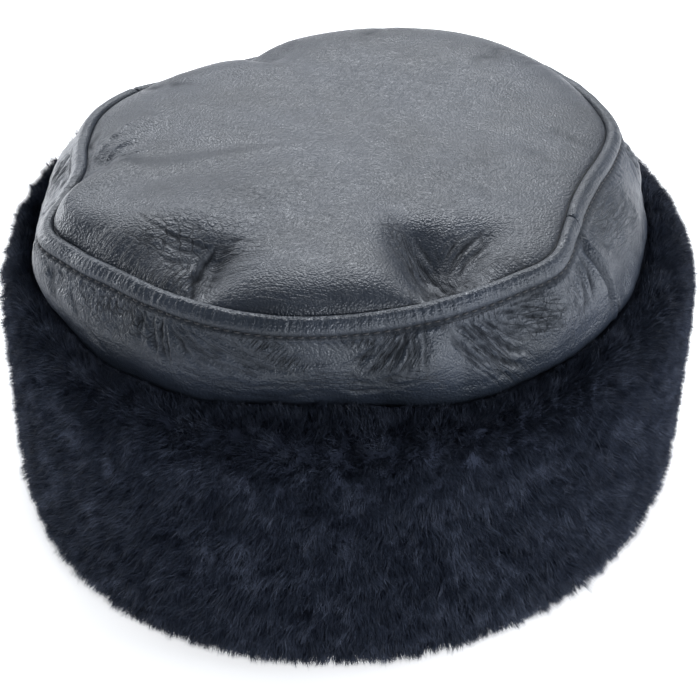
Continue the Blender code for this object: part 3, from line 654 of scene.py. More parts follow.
def make_top(material):
    n = TOP_CELLS
    steps = np.linspace(-1.0, 1.0, n + 1)
    u, v = np.meshgrid(steps, steps, indexing="ij")
    v = v + 0.20 * (v * v - 1.0)      # closer rows toward the front
    t = np.maximum(np.abs(u), np.abs(v))
    with np.errstate(divide="ignore", invalid="ignore"):
        angle = np.where(np.abs(u) >= np.abs(v), 45.0 * v / u + np.where(u > 0, 0.0, 180.0),
                         90.0 - 45.0 * u / v + np.where(v > 0, 0.0, 180.0))
    angle = np.where(t < 1e-9, 0.0, angle)
    t = np.clip(1.0 - (1.0 - t) ** 1.3, 0.0, 1.0)
    radius = (ring_value("seam_r", angle) - 0.1) * t
    x, y = radius * np.cos(np.radians(angle)), radius * np.sin(np.radians(angle))
    plain = np.stack((x, y, top_height(angle, t)), -1)
    normal = grid_normals(plain)
    ends = smooth(0.0, 0.02, 1.0 - t)
    h, crease_shade = top_surface(x, y, angle, t)
    outer = plain + normal * (h * ends)[..., None]

    def rim(grid, step=1):
        last = grid.shape[0] - 1
        k = np.arange(0, last, step)
        return np.concatenate((grid[k, 0], grid[last, k], grid[last - k, last], grid[0, last - k]))

    index = np.arange((n + 1) * (n + 1)).reshape(n + 1, n + 1)
    points, faces = [outer.reshape(-1, 3)], [grid_faces(n + 1, n + 1)]
    ring, count = rim(index), (n + 1) * (n + 1)
    edge = rim(outer)
    towards = edge[:, :2] / np.linalg.norm(edge[:, :2], axis=1, keepdims=True)
    for drop, inward in ((0.9, 0.0), (2.2, 0.05), (3.6, 0.15)):
        row = edge - np.concatenate((towards * inward, np.full((len(edge), 1), drop)), 1)
        points.append(row)
        new = count + np.arange(len(row))
        faces.append(np.stack((ring, new, np.roll(new, -1), np.roll(ring, -1)), -1))
        ring, count = new, count + len(row)
    coarse = slice(None, None, INNER)
    inner = outer[coarse, coarse] - normal[coarse, coarse] * LEATHER
    inner_edge = points[-1][::INNER] - np.concatenate((towards[::INNER] * LEATHER, np.zeros((len(ring) // INNER, 1))), 1)
    m = n // INNER + 1
    inner_index = count + np.arange(m * m).reshape(m, m)
    last = m - 1
    k = np.arange(0, last)
    order = [(k, 0 * k), (0 * k + last, k), (last - k, 0 * k + last), (0 * k, last - k)]
    rows = np.concatenate([o[0] for o in order])
    columns = np.concatenate([o[1] for o in order])
    inner[rows, columns] = inner_edge
    points.append(inner.reshape(-1, 3))
    faces.append(grid_faces(m, m, start=count, flip=True))
    inner_ring = inner_index[rows, columns]
    outer_ring = ring.reshape(-1, INNER)
    nxt, inner_next = np.roll(outer_ring[:, 0], -1), np.roll(inner_ring, -1)
    faces.append(np.column_stack((outer_ring, nxt, inner_next, inner_ring)))
    points = np.concatenate(points)
    uvs = np.column_stack((points[:, 0], points[:, 1])) / 220.0 + 0.5
    below = np.arange(len(points)) >= count
    uvs[below] = uvs[below] * 0.25 + (0.74, 0.0)
    marks, flow = fine_folds(x, y, [values for _name, *values in TOP_WRINKLES])
    walls = smooth(0.88, 0.95, t) * (smooth(-130.0, -120.0, angle_from_back(angle)) * (1.0 - smooth(-108.0, -98.0, angle_from_back(angle)))
                                     + 0.5 * smooth(-66.0, -58.0, angle_from_back(angle)) * (1.0 - smooth(-40.0, -30.0, angle_from_back(angle))))
    marks[..., 1] = np.maximum(marks[..., 1], 0.5 * walls)
    flow = np.where((walls > 0.35)[..., None], np.stack((radius, angle_from_back(angle) * ARC), -1), flow)
    # the blue mark carries the painted crease shade
    return make_mesh("top_panel", points, faces, material, uvs=uvs, panel=points[:, :2] / 100.0,
                     marks=np.concatenate((marks, crease_shade[..., None]), -1).reshape(-1, 3), flow=flow.reshape(-1, 2))


# ---- the side panel ----
STITCH_PITCH = 3.1
PUCKERS = (                   # welt puckers are strongest beside the dents
    # angle  spread  strength
    (-110.0,  16.0,   0.65),
    ( -56.0,  14.0,   1.0),
    ( -30.0,  10.0,   0.4),
    ( -88.0,  20.0,   0.4),
    (  70.0,  16.0,   0.8),
    ( 104.0,  12.0,   0.7),
    ( 140.0,  14.0,   0.9),
    (-160.0,  14.0,   0.8),
    (  24.0,  12.0,   0.7),
)


def side_surface(angle, run, fineness):
    """Wrinkles of the side panel, mm, added along its normal, and how deep in a crease each point is, 0 to 1, which
    the material darkens as painted shade;
    arrays of (run, angle). Creases are as narrow as the fineness of the mesh lets them be."""
    scale = side_scale()
    turned = (angle + 180.0) % 360.0 - 180.0
    a, down = angle * ARC, run - scale[STITCH]
    lowest, highest = np.zeros_like(a), np.zeros_like(a)
    low, high = a.min(), a.max()

    def places(value):
        """The same angle on this half of the panel, once for each whole turn that reaches it."""
        return [value + 360.0 * k for k in (-1, 0, 1) if low / ARC - 25.0 < value + 360.0 * k < high / ARC + 25.0]

    for a1, d1, a2, d2, *values in [row[1:] for row in SIDE_CREASES] + family(SIDE_FANS, 9, 0.40 + 0.35 * fineness, fineness):
        for start in places(a1):
            one = crease(a, down, start * ARC, d1, (start + a2 - a1) * ARC, d2, *values)
            lowest, highest = np.minimum(lowest, one), np.maximum(highest, one)
    h = 1.35 * (lowest + highest)
    for seed, (_name, middle, d, *values) in enumerate(SIDE_WRINKLES):
        for start in places(middle):
            h += 0.35 * wrinkles(a, down, start * ARC, d, *values, 400 + 17 * seed)
    panel = smooth(0.2, 1.6, down)
    h *= panel
    # painted shade: the deeper a crease, the darker the material paints it
    crease_shade = np.clip(-h / 0.78, 0.0, 1.0) ** 1.4
    # the belly of the panel is never quite even
    for _name, middle, d, half_around, half_down, rise in SIDE_SWELLS:
        away = ((turned - middle + 180.0) % 360.0 - 180.0) * ARC
        h += panel * rise * np.exp(-((away / half_around) ** 2 + ((down - d) / half_down) ** 2))
    soft = smooth(0.0, 8.0, down) * (1.0 - smooth(24.0, 30.0, down))
    h += soft * (0.85 * noise(a / 21.0, down / 15.0, 61) + 0.35 * noise(a / 8.0, down / 7.0, 63))
    h += 0.09 * panel * noise(a / 4.5, down / 1.8, 65)
    # puckers across the welt
    strength = np.full_like(a, 0.08)
    for centre, spread, amount in PUCKERS:
        away = np.abs((turned - centre + 180.0) % 360.0 - 180.0)
        strength = strength + amount * np.exp(-(away / spread) ** 2)
    welt = smooth(scale[1], scale[3], run) * (1.0 - smooth(scale[STITCH] - 1.2, scale[STITCH] + 0.6, run))
    lines = np.abs(noise(a / 1.35, run / 7.0, 71)) + 0.5 * np.abs(noise(a / 0.75, run / 5.0, 73))
    h += welt * strength * (0.42 * (lines - 0.4))
    h += 0.22 * welt * noise(a / 9.0, run / 12.0, 75)
    # the stitched groove, with a dimple at each stitch hole and a small pillow between
    groove = np.exp(-((down + 0.3) / 0.75) ** 2)
    phase = (a / STITCH_PITCH) % 1.0
    hole = np.exp(-((np.minimum(phase, 1.0 - phase) * STITCH_PITCH) / 0.5) ** 2)
    h -= groove * 0.65 + hole * 0.32 * np.exp(-((down + 0.3) / 0.6) ** 2)
    h += 0.12 * (1.0 - hole) * np.exp(-((down - 1.3) / 0.8) ** 2)
    # little pulls fanning from each hole
    pull = np.exp(-(np.minimum(phase, 1.0 - phase) * STITCH_PITCH / 0.45) ** 2)
    reach = 2.2 + 1.4 * noise(np.round(a / STITCH_PITCH) * 0.73, 0.5 + 0 * a, 77)
    h -= 0.15 * pull * smooth(0.0, 0.6, down) * np.exp(-np.maximum(down, 0.0) / np.maximum(reach, 0.6))
    # painted shade: the stitched groove is marked to be darkened
    crease_shade = np.maximum(crease_shade, 0.9 * groove)
    return h, crease_shade


def make_side(name, start, columns, rows, material):
    """Half of the side panel as a shell, from the angle start on round by 180 degrees. Returns the
    object with the angles, runs, points and normals of its outer face."""
    scale = side_scale()
    trim = math.degrees(0.1 / 95.0)
    front = name.endswith("front")
    angles = np.linspace(start + trim, start + 180.0 - trim, columns)
    if front:                        # closer columns where the creases are finest
        angles = np.interp(np.linspace(0.0, 1.0, columns), (0.0, 0.13, 0.92, 1.0),
                           (angles[0], start + 42.0, start + 164.0, angles[-1]))
    share = np.linspace(0.0, 1.0, rows)
    knots = np.array([0.0, 0.04, 0.27, 0.86, 0.95, 1.0])
    marks = np.array([0.0, scale[1], scale[STITCH] + 1.0, scale[EDGE], scale[EDGE + 1], scale[-1]])
    run = np.interp(share, knots, marks)
    radius, height = side_point(angles, run)
    r = np.broadcast_to(run[:, None], radius.shape)
    down = np.clip((r - scale[STITCH] - 0.5) / (scale[EDGE] - scale[STITCH]), 0.0, 1.0)
    away = (angles - SIDE_SEAM_ANGLE + 180.0) % 360.0 - 180.0
    a = angles + np.exp(-(away / 22.0) ** 2) * (2.6 * down - 0.9 * smooth(0.0, 0.15, down))
    rad = np.radians(a)
    plain = np.stack((radius * np.cos(rad), radius * np.sin(rad), height), -1)
    normal = grid_normals(plain)
    outside = np.stack((np.cos(rad), np.sin(rad), np.full_like(rad, 0.6)), -1)
    middle = rows // 2
    if (normal[middle] * outside[middle]).sum() < 0:
        normal = -normal
    h, crease_shade = side_surface(a, r, 0.68 if front else 1.0)
    # the two ends roll in where they are sewn together; the front half lies over the rear one
    from_end = np.broadcast_to(np.minimum(angles - angles[0], angles[-1] - angles) * ARC, r.shape)
    fade = smooth(scale[STITCH] - 0.4, scale[STITCH] + 2.2, r)
    lower = smooth(scale[EDGE] - 9.0, scale[EDGE], r)
    deepens = fade * (0.45 + 0.55 * smooth(scale[STITCH] + 2.0, scale[STITCH] + 9.0, r))
    lip = fade * (1.0 - 0.85 * lower)
    h += (deepens * (-2.3 if front else -1.9) * np.exp(-(from_end / (0.8 if front else 0.9)) ** 2)
          + lip * (1.25 if front else -0.2) * np.exp(-((from_end - 2.0) / 0.95) ** 2)
          - lip * (0.9 if front else 0.0) * np.exp(-((from_end - 4.1) / 0.75) ** 2))
    # painted shade: the upright seam and, on the front half, the hollow beside its lip are marked to be darkened
    crease_shade = np.maximum(crease_shade, fade * np.exp(-(from_end / 1.15) ** 2))
    if front:
        crease_shade = np.maximum(crease_shade, 0.7 * lip * np.exp(-((from_end - 4.1) / 0.6) ** 2))
    # the welt thickens where the upright seams join it
    h += 0.25 * np.exp(-(from_end / 3.5) ** 2) * np.exp(-((r - scale[3] - 1.5) / 3.2) ** 2)
    on_welt = smooth(scale[1], scale[2], r) * (1.0 - fade)
    h -= 0.45 * on_welt * np.exp(-(from_end / 0.7) ** 2)
    # a soft, slightly wavy lower edge
    plain = plain.copy()
    plain[..., 2] += lower * 0.55 * noise(a * ARC / 16.0, 0.5 + 0 * a, 81)
    outer = plain + normal * h[..., None]
    step = 4
    inner = outer[::step, ::step] - normal[::step, ::step] * LEATHER
    m, k = inner.shape[:2]
    count = rows * columns
    index = np.arange(count).reshape(rows, columns)
    small = count + np.arange(m * k).reshape(m, k)
    faces = [grid_faces(rows, columns), grid_faces(m, k, start=count, flip=True)]

    def strip(fine, coarse):
        groups = [np.concatenate((fine[i * step:(i + 1) * step + 1], (coarse[i + 1], coarse[i])))
                  for i in range(len(coarse) - 1)]
        return np.array(groups)

    faces.append(strip(index[0, ::-1], small[0, ::-1]))
    faces.append(strip(index[-1], small[-1]))
    faces.append(strip(index[:, 0], small[:, 0]))
    faces.append(strip(index[::-1, -1], small[::-1, -1]))
    points = np.concatenate((outer.reshape(-1, 3), inner.reshape(-1, 3)))
    panel = np.stack((a * ARC, r), -1)
    whole = np.concatenate((panel.reshape(-1, 2), panel[::step, ::step].reshape(-1, 2)))
    uvs = np.empty_like(whole)
    uvs[:, 0] = (whole[:, 0] - angles[0] * ARC) / (180.0 * ARC)
    uvs[:, 1] = whole[:, 1] / scale[-1]
    uvs[:count, 1] = 0.25 + 0.75 * uvs[:count, 1]
    uvs[count:, 1] = 0.24 * uvs[count:, 1]
    # outward faces: the grid runs down and round, so it is turned where that faces inward
    probe = np.cross(outer[middle + 1, 0] - outer[middle, 0], outer[middle, 1] - outer[middle, 0])
    if (probe * outside[middle, 0]).sum() > 0:
        faces = [f[:, ::-1] for f in faces]
    middle_angle = start + 90.0
    rows_here = [[(centre + 360.0 * round((middle_angle - centre) / 360.0)) * ARC] + list(values)
                 for _name, centre, *values in SIDE_WRINKLES]
    marks, flow = fine_folds(a * ARC, r - scale[STITCH], rows_here)
    below = smooth(0.0, 1.5, r - scale[STITCH])
    welt = smooth(scale[1], scale[3], r) * (1.0 - below)
    marks *= below[..., None] * (0.8, 1.0)
    marks[..., 1] = np.maximum(marks[..., 1], 0.12 * welt)
    flow = np.where((welt > 0.5)[..., None], np.stack((r, a * ARC), -1), flow)
    # the blue mark carries the painted crease, groove and seam shade
    marks = np.concatenate((marks, crease_shade[..., None]), -1)
    obj = make_mesh(name, points, faces, material, uvs=uvs, panel=whole / 100.0,
                    marks=marks.reshape(-1, 3), flow=flow.reshape(-1, 2))
    return obj, angles, run, outer, normal


def at(grid, angles, run, angle, where):
    """A value of a (run, angle) grid between its lines."""
    i = np.interp(where, run, np.arange(len(run)))
    j = np.interp(angle, angles, np.arange(len(angles)))
    i0, j0 = np.minimum(i.astype(int), len(run) - 2), np.minimum(j.astype(int), len(angles) - 2)
    fi, fj = (i - i0)[:, None], (j - j0)[:, None]
    return ((grid[i0, j0] * (1 - fi) + grid[i0 + 1, j0] * fi) * (1 - fj)
            + (grid[i0, j0 + 1] * (1 - fi) + grid[i0 + 1, j0 + 1] * fi) * fj)


def make_stitches(name, side, material):
    """A row of thread stitches lying in the groove under the welt."""
    _obj, angles, run, outer, normal = side
    scale = side_scale()
    first = math.ceil(angles[0] * ARC / STITCH_PITCH) + 1
    last = math.floor(angles[-1] * ARC / STITCH_PITCH) - 1
    k = np.arange(first, last)
    around, rings = 6, 5
    points, faces = [], []
    s = np.linspace(0.0, 1.0, rings)
    arch = np.array([-0.42, 0.10, 0.20, 0.10, -0.42])
    thick = np.array([0.22, 0.27, 0.28, 0.27, 0.22])
    for ring in range(rings):
        where = (k + 0.10 + 0.80 * s[ring]) * STITCH_PITCH / ARC
        lean = 0.10 * np.sin(k * 1.7)
        level = np.full(len(k), scale[STITCH] - 0.3) + lean * (s[ring] - 0.5)
        centre = at(outer, angles, run, where, level)
        up = at(normal, angles, run, where, level)
        up /= np.linalg.norm(up, axis=1, keepdims=True)
        ahead = at(outer, angles, run, where + 0.05, level) - centre
        ahead /= np.linalg.norm(ahead, axis=1, keepdims=True)
        across = np.cross(up, ahead)
        centre = centre + up * arch[ring]
        for step in range(around):
            a = 2.0 * math.pi * step / around
            points.append(centre + (across * math.cos(a) + up * math.sin(a)) * thick[ring])
    count = len(k)
    for ring in range(rings - 1):
        for step in range(around):
            other = (step + 1) % around
            a = (ring * around + step) * count + np.arange(count)
            b = (ring * around + other) * count + np.arange(count)
            c = ((ring + 1) * around + other) * count + np.arange(count)
            d = ((ring + 1) * around + step) * count + np.arange(count)
            faces.append(np.stack((a, b, c, d), -1))
    for ring, order in ((0, -1), (rings - 1, 1)):
        cap = np.stack([(ring * around + step) * count + np.arange(count) for step in range(around)], -1)
        faces.append(cap[:, ::order])
    return make_mesh(name, np.concatenate(points), faces, material)


# ---- the fur band ----
HAIRS = 500000
HAIR_PIECES = 4
HAIR_DEPTH = 5.2             # how deep a hair is rooted below the outer form
HAIR_WIDTH = 0.44            # at the root; each tapers to a point
TUFT = 2.3                   # mean distance between tufts


def fur_stations(angle):
    """Outer form of the pile from the crown's edge to the foot, arrays of (station, angle)."""
    angle = np.atleast_1d(np.asarray(angle, float))
    edge_r, edge_z = ring_value("edge_r", angle), ring_value("edge_z", angle)
    out_r = oval(FUR_HALF_WIDTH, FUR_HALF_LENGTH, angle) + ring_value("fur_out", angle)
    turned = (angle + 180.0) % 360.0 - 180.0
    fuller = 2.6 * np.exp(-(((turned + 124.0) / 30.0) ** 2)) + 0.8 * np.exp(-(((turned - 5.0) / 30.0) ** 2))
    foot_r = out_r - FUR_FOOT_IN + fuller
    top_z = FUR_HEIGHT + ring_value("fur_lift", angle)
    flat = np.zeros_like(angle)
    radius = [edge_r + 0.2, edge_r + 2.2, edge_r + 0.5 * (out_r - edge_r), out_r - 3.0, out_r - 0.7, out_r,
              0.5 * (out_r + foot_r) + 0.4, foot_r, foot_r - 1.6, foot_r - 4.6, foot_r - 9.0]
    height = [edge_z + 0.3, edge_z + 1.8, top_z, top_z - 4.5, top_z - 11.0, top_z - 22.0,
              42.0 + flat, 15.0 + flat, 6.0 + flat, 1.6 + flat, flat]
    return np.array(radius), np.array(height)


def fur_lengths():
    radius, height = fur_stations(np.linspace(-180.0, 180.0, 72, endpoint=False))
    return np.concatenate(([0.0], np.cumsum(np.hypot(np.diff(radius, axis=0), np.diff(height, axis=0)).mean(1))))


def fur_form(angle, where):
    """Points and outward normals of the pile's outer form, for arrays of angle and running length."""
    nodes = np.linspace(-180.0, 180.0, 361)
    radius, height = fur_stations(nodes)
    scale = fur_lengths()
    turned = (angle + 180.0) % 360.0
    j = np.minimum(turned.astype(int), 359)
    g = turned - j
    i = np.clip(np.searchsorted(scale, where, side="right") - 1, 0, len(scale) - 2)
    step = scale[i + 1] - scale[i]
    s = (where - scale[i]) / step
    place, slope = [], []
    for values in (radius, height):
        slopes = np.gradient(values, scale, axis=0)
        v0 = values[i, j] * (1 - g) + values[i, j + 1] * g
        v1 = values[i + 1, j] * (1 - g) + values[i + 1, j + 1] * g
        m0 = slopes[i, j] * (1 - g) + slopes[i, j + 1] * g
        m1 = slopes[i + 1, j] * (1 - g) + slopes[i + 1, j + 1] * g
        place.append((2 * s**3 - 3 * s**2 + 1) * v0 + (s**3 - 2 * s**2 + s) * step * m0
                     + (3 * s**2 - 2 * s**3) * v1 + (s**3 - s**2) * step * m1)
        slope.append(((6 * s**2 - 6 * s) * v0 + (3 * s**2 - 4 * s + 1) * step * m0
                      + (6 * s - 6 * s**2) * v1 + (3 * s**2 - 2 * s) * step * m1) / step)
    size = np.maximum(np.hypot(slope[0], slope[1]), 1e-6)
    out_r, out_z = -slope[1] / size, slope[0] / size
    # hairs on a bend of the form lean to both sides of it, so their direction turns slowly
    turn = np.unwrap(np.arctan2(np.gradient(radius, axis=0), -np.gradient(height, axis=0)), axis=0)
    fine = np.linspace(0.0, scale[-1], 160)
    rows = np.array([np.interp(fine, scale, turn[:, k]) for k in range(0, 361, 4)]).T
    reach = np.hanning(33) / np.hanning(33).sum()
    rows = np.array([np.convolve(np.pad(column, 16, mode="edge"), reach, mode="valid") for column in rows.T]).T
    fi = np.clip(where / scale[-1] * 159.0, 0.0, 158.999)
    fj = np.clip((j + g) / 4.0, 0.0, rows.shape[1] - 1.001)
    i0, j0 = fi.astype(int), fj.astype(int)
    fi, fj = fi - i0, fj - j0
    lean = ((rows[i0, j0] * (1 - fi) + rows[i0 + 1, j0] * fi) * (1 - fj)
            + (rows[i0, j0 + 1] * (1 - fi) + rows[i0 + 1, j0 + 1] * fi) * fj)
    out_r, out_z = np.cos(lean), np.sin(lean)
    a = np.radians(angle)
    point = np.stack((place[0] * np.cos(a), place[0] * np.sin(a), place[1]), -1)
    normal = np.stack((out_r * np.cos(a), out_r * np.sin(a), out_z), -1)
    down = np.stack((slope[0] / size * np.cos(a), slope[0] / size * np.sin(a), slope[1] / size), -1)
    around = np.stack((-np.sin(a), np.cos(a), 0.0 * a), -1)
    return point, normal, around, down


def pile_depth(where):
    """How deep the hairs are rooted below the outer form."""
    total = fur_lengths()[-1]
    return 3.6 + (HAIR_DEPTH - 3.6) * smooth(0.0, 6.0, where) * (1.0 - smooth(total - 12.0, total - 1.0, where))


def make_pelt(material):
    """The skin under the pile: a closed ring, its inner face round the head."""
    columns, rows = 180, 36
    angles = np.linspace(-180.0, 180.0, columns, endpoint=False)
    total = fur_lengths()[-1]
    where = np.linspace(0.0, total, rows)
    a, w = np.meshgrid(angles, where)
    point, normal, _around, _down = fur_form(a.ravel(), w.ravel())
    near_skin = 1.3 + 1.3 * smooth(4.0, 12.0, w.ravel()) * (1.0 - smooth(30.0, 44.0, w.ravel()))
    outer = (point - normal * (pile_depth(w.ravel()) - near_skin)[:, None]).reshape(rows, columns, 3)
    outer[..., 2] = np.maximum(outer[..., 2], 1.0)
    head_r = oval(HEAD_HALF_WIDTH, HEAD_HALF_LENGTH, angles)
    edge_z = ring_value("edge_z", angles)
    rad = np.radians(angles)
    inner = []
    turned_under = outer[-1]
    foot_r = np.hypot(turned_under[:, 0], turned_under[:, 1])
    for share, height in ((0.35, 0.7), (0.75, 0.9), (0.97, 2.4)):
        r = foot_r * (1 - share) + head_r * share
        inner.append(np.stack((r * np.cos(rad), r * np.sin(rad), np.full_like(r, height)), -1))
    for height in np.linspace(6.0, 80.0, 22):
        ripple = 0.5 * noise(angles / 9.0 + 3.0, height / 14.0 + 0 * angles, 91) + 0.25 * noise(angles / 3.0, height / 6.0 + 0 * angles, 92)
        r = head_r + 0.5 + ripple
        inner.append(np.stack((r * np.cos(rad), r * np.sin(rad), np.full_like(r, height)), -1))
    # the sewn edge stands up inside the leather's turned edge
    ledge = np.maximum(ring_value("edge_r", angles) - 3.0, head_r + 2.4)
    for r, height in ((head_r + 0.2, edge_z + 1.6), (head_r + 0.9, edge_z + 1.9), (head_r + 1.0, edge_z + TUCK_Z - 1.75),
                      (ledge, edge_z - 1.6 - 0.2)):
        inner.append(np.stack((r * np.cos(rad), r * np.sin(rad), height), -1))
    points = np.concatenate((outer, np.array(inner)))
    rings = len(points)
    i, j = np.meshgrid(np.arange(rings), np.arange(columns), indexing="ij")
    i2, j2 = (i + 1) % rings, (j + 1) % columns
    faces = np.stack((i * columns + j, i2 * columns + j, i2 * columns + j2, i * columns + j2), -1).reshape(-1, 4)
    probe = np.cross(points[20, 1] - points[20, 0], points[21, 0] - points[20, 0])
    if probe @ points[20, 0] > 0:
        faces = faces[:, ::-1]
    flat = points.reshape(-1, 3)
    uvs = np.stack((np.broadcast_to(np.arange(columns) / columns, (rings, columns)).ravel(),
                    np.broadcast_to(np.arange(rings)[:, None] / rings, (rings, columns)).ravel()), -1)
    obj = make_mesh("fur_pelt", flat, [faces], material[0], uvs=uvs)
    obj.data.materials.append(material[1])
    outside = (np.arange(len(faces)) < (rows + 2) * columns) | (np.arange(len(faces)) >= (rings - 3) * columns)
    obj.data.polygons.foreach_set("material_index", outside.astype(np.int32))
    return obj


def make_hairs(material):
    """The pile: tapered, bent blades rooted in the pelt, drawn together in tufts and combed in swirls."""
    random = np.random.RandomState(11)
    total = fur_lengths()[-1]
    count = HAIRS
    angle = random.uniform(-180.0, 180.0, count)
    where = 0.6 + (total - 1.0) * random.uniform(0.0, 1.0, count)
    crowded = random.uniform(0.0, 1.0, count)
    where = np.where(crowded < 0.08, random.uniform(0.2, 8.0, count), where)
    where = np.where((crowded > 0.08) & (crowded < 0.24), random.uniform(8.0, 36.0, count), where)
    around_scale = 2.0 * math.pi * 117.0 / 360.0
    u, v = angle * around_scale, where
    # the nearest of a jittered net of tuft centres, whose columns close round the band
    columns = int(round(360.0 * around_scale / TUFT))
    pitch = 360.0 * around_scale / columns
    rows = int(total / TUFT) + 3
    jitter = random.uniform(0.08, 0.92, (columns, rows, 2))
    tall = random.normal(0.0, 1.0, (columns, rows))
    tilt = random.normal(0.0, 1.0, (columns, rows, 2))
    tight = random.uniform(0.15, 0.65, (columns, rows))
    cu, cv = np.floor((u + 180.0 * around_scale) / pitch).astype(int), np.floor(v / TUFT).astype(int) + 1
    best = np.full(count, 1e9)
    near_u, near_v = np.zeros(count), np.zeros(count)
    bi, bj = np.zeros(count, int), np.zeros(count, int)
    for di in (-1, 0, 1):
        for dj in (-1, 0, 1):
            i, j = (cu + di) % columns, np.clip(cv + dj, 0, rows - 1)
            pu = (cu + di + jitter[i, j, 0]) * pitch - 180.0 * around_scale
            pv = (cv + dj - 1 + jitter[i, j, 1]) * TUFT
            away = np.hypot(pu - u, pv - v)
            closer = away < best
            best = np.where(closer, away, best)
            near_u, near_v = np.where(closer, pu, near_u), np.where(closer, pv, near_v)
            bi, bj = np.where(closer, i, bi), np.where(closer, j, bj)
    form, normal, around, down = fur_form(angle, where)
    depth = pile_depth(where)
    root = form - normal * depth[:, None]
    # combing, the same in neighbouring hairs
    x, y = np.cos(np.radians(angle)) * 117.0, np.sin(np.radians(angle)) * 117.0
    comb_u = 0.9 * noise(x / 19.0 + v / 23.0, y / 19.0 - v / 29.0, 101) + 1.7 * noise(x / 7.0 + v / 8.0, y / 7.0 - v / 9.0, 102)
    comb_v = 0.9 * noise(x / 21.0 - v / 19.0, y / 17.0 + v / 27.0, 103) + 1.7 * noise(x / 7.5 - v / 9.0, y / 6.5 + v / 8.5, 104)
    comb_v = comb_v + 0.7 + 0.9 * (1.0 - smooth(20.0, 50.0, where))
    pull = tight[bi, bj] * smooth(0.0, 6.0, where)
    share = depth / HAIR_DEPTH
    lean_u = share * (comb_u + 1.5 * tilt[bi, bj, 0] + random.normal(0.0, 1.25, count)) + pull * (near_u - u)
    lean_v = share * (comb_v + 1.5 * tilt[bi, bj, 1] + random.normal(0.0, 1.25, count)) + pull * (near_v - v)
    # the patchy height of a sheared pile
    # coarser, separate tufts low on the right
    turned = (angle + 180.0) % 360.0 - 180.0
    loose = np.exp(-((turned + 28.0) / 30.0) ** 2) * smooth(30.0, 60.0, where) + 1.5 * np.exp(-((turned + 168.0) / 36.0) ** 2)
    rise = (0.58 + 0.55 * loose) * np.clip(tall[bi, bj], -2.0, 2.0) + 0.5 * noise(x / 7.0 + v / 8.0, y / 7.0 - v / 7.0, 105) + random.normal(0.0, 0.40, count) + 0.75
    stray = random.uniform(0.0, 1.0, count) < 0.02
    rise = rise + stray * random.uniform(0.3, 1.3, count)
    rise = rise * (0.5 + 0.5 * smooth(0.0, 8.0, where)) * (1.0 - 0.6 * smooth(total - 10.0, total, where))
    tip = form + normal * rise[:, None] + around * lean_u[:, None] + down * lean_v[:, None]
    edge_r, edge_z = ring_value("edge_r", angle), ring_value("edge_z", angle)
    # clear of the leather's lower edge
    for place in (root, tip):
        r = np.hypot(place[:, 0], place[:, 1])
        close = (place[:, 2] > edge_z - 1.2) & (r < edge_r + 0.2)
        new = np.where(close, edge_r + 0.2 + random.uniform(0.0, 0.5, count), r)
        place[:, :2] *= (new / r)[:, None]
    # hairs under the foot spread along the floor
    tip[:, 2] = np.where(tip[:, 2] < 0.4, random.uniform(0.4, 1.2, count), tip[:, 2])
    root[:, 2] = np.maximum(root[:, 2], 1.4)
    along = tip - root
    along /= np.maximum(np.linalg.norm(along, axis=1, keepdims=True), 1e-6)
    spin = random.uniform(0.0, math.pi, count)[:, None]
    flat = np.cross(along, normal + 0.31 * around + 0.17 * down)
    flat /= np.maximum(np.linalg.norm(flat, axis=1, keepdims=True), 1e-6)
    width = flat * np.cos(spin) + np.cross(along, flat) * np.sin(spin)
    size = HAIR_WIDTH * random.uniform(0.7, 1.2, count)[:, None]
    points = np.stack((root - width * size * 0.5, root + width * size * 0.5, tip), 1)
    uv_root = np.stack(((u + 180.0 * around_scale) / (360.0 * around_scale), 1.0 - v / total), -1)
    uv_tip = uv_root + np.stack((lean_u / (360.0 * around_scale), -lean_v / total), -1)
    thin = 0.0006
    uvs = np.stack((uv_root - (thin, 0), uv_root + (thin, 0), uv_tip + (0, thin)), 1)
    order = np.argsort(angle, kind="stable")
    made = []
    for piece in range(HAIR_PIECES):
        here = order[piece * count // HAIR_PIECES:(piece + 1) * count // HAIR_PIECES]
        blades = np.arange(len(here) * 3).reshape(-1, 3)
        made.append(make_mesh("fur_pile_%d" % (piece + 1), points[here].reshape(-1, 3), [blades], material,
                              uvs=np.clip(uvs[here].reshape(-1, 2), 0.0, 1.0)))
    return made


# ---- materials ----
def node(tree, kind, **values):
    made = tree.nodes.new(kind)
    for key, value in values.items():
        if key in made.inputs:
            made.inputs[key].default_value = value
        else:
            setattr(made, key, value)
    return made


def new_material(name):
    material = bpy.data.materials.new(name)
    material.use_nodes = True
    return material, material.node_tree, material.node_tree.nodes["Principled BSDF"]


def ramp(tree, source, stops):
    made = node(tree, "ShaderNodeValToRGB")
    elements = made.color_ramp.elements
    elements[0].position, elements[0].color = stops[0][0], (*stops[0][1], 1.0)
    elements[1].position, elements[1].color = stops[-1][0], (*stops[-1][1], 1.0)
    for position, colour in stops[1:-1]:
        elements.new(position).color = (*colour, 1.0)
    tree.links.new(source, made.inputs["Fac"])
    return made


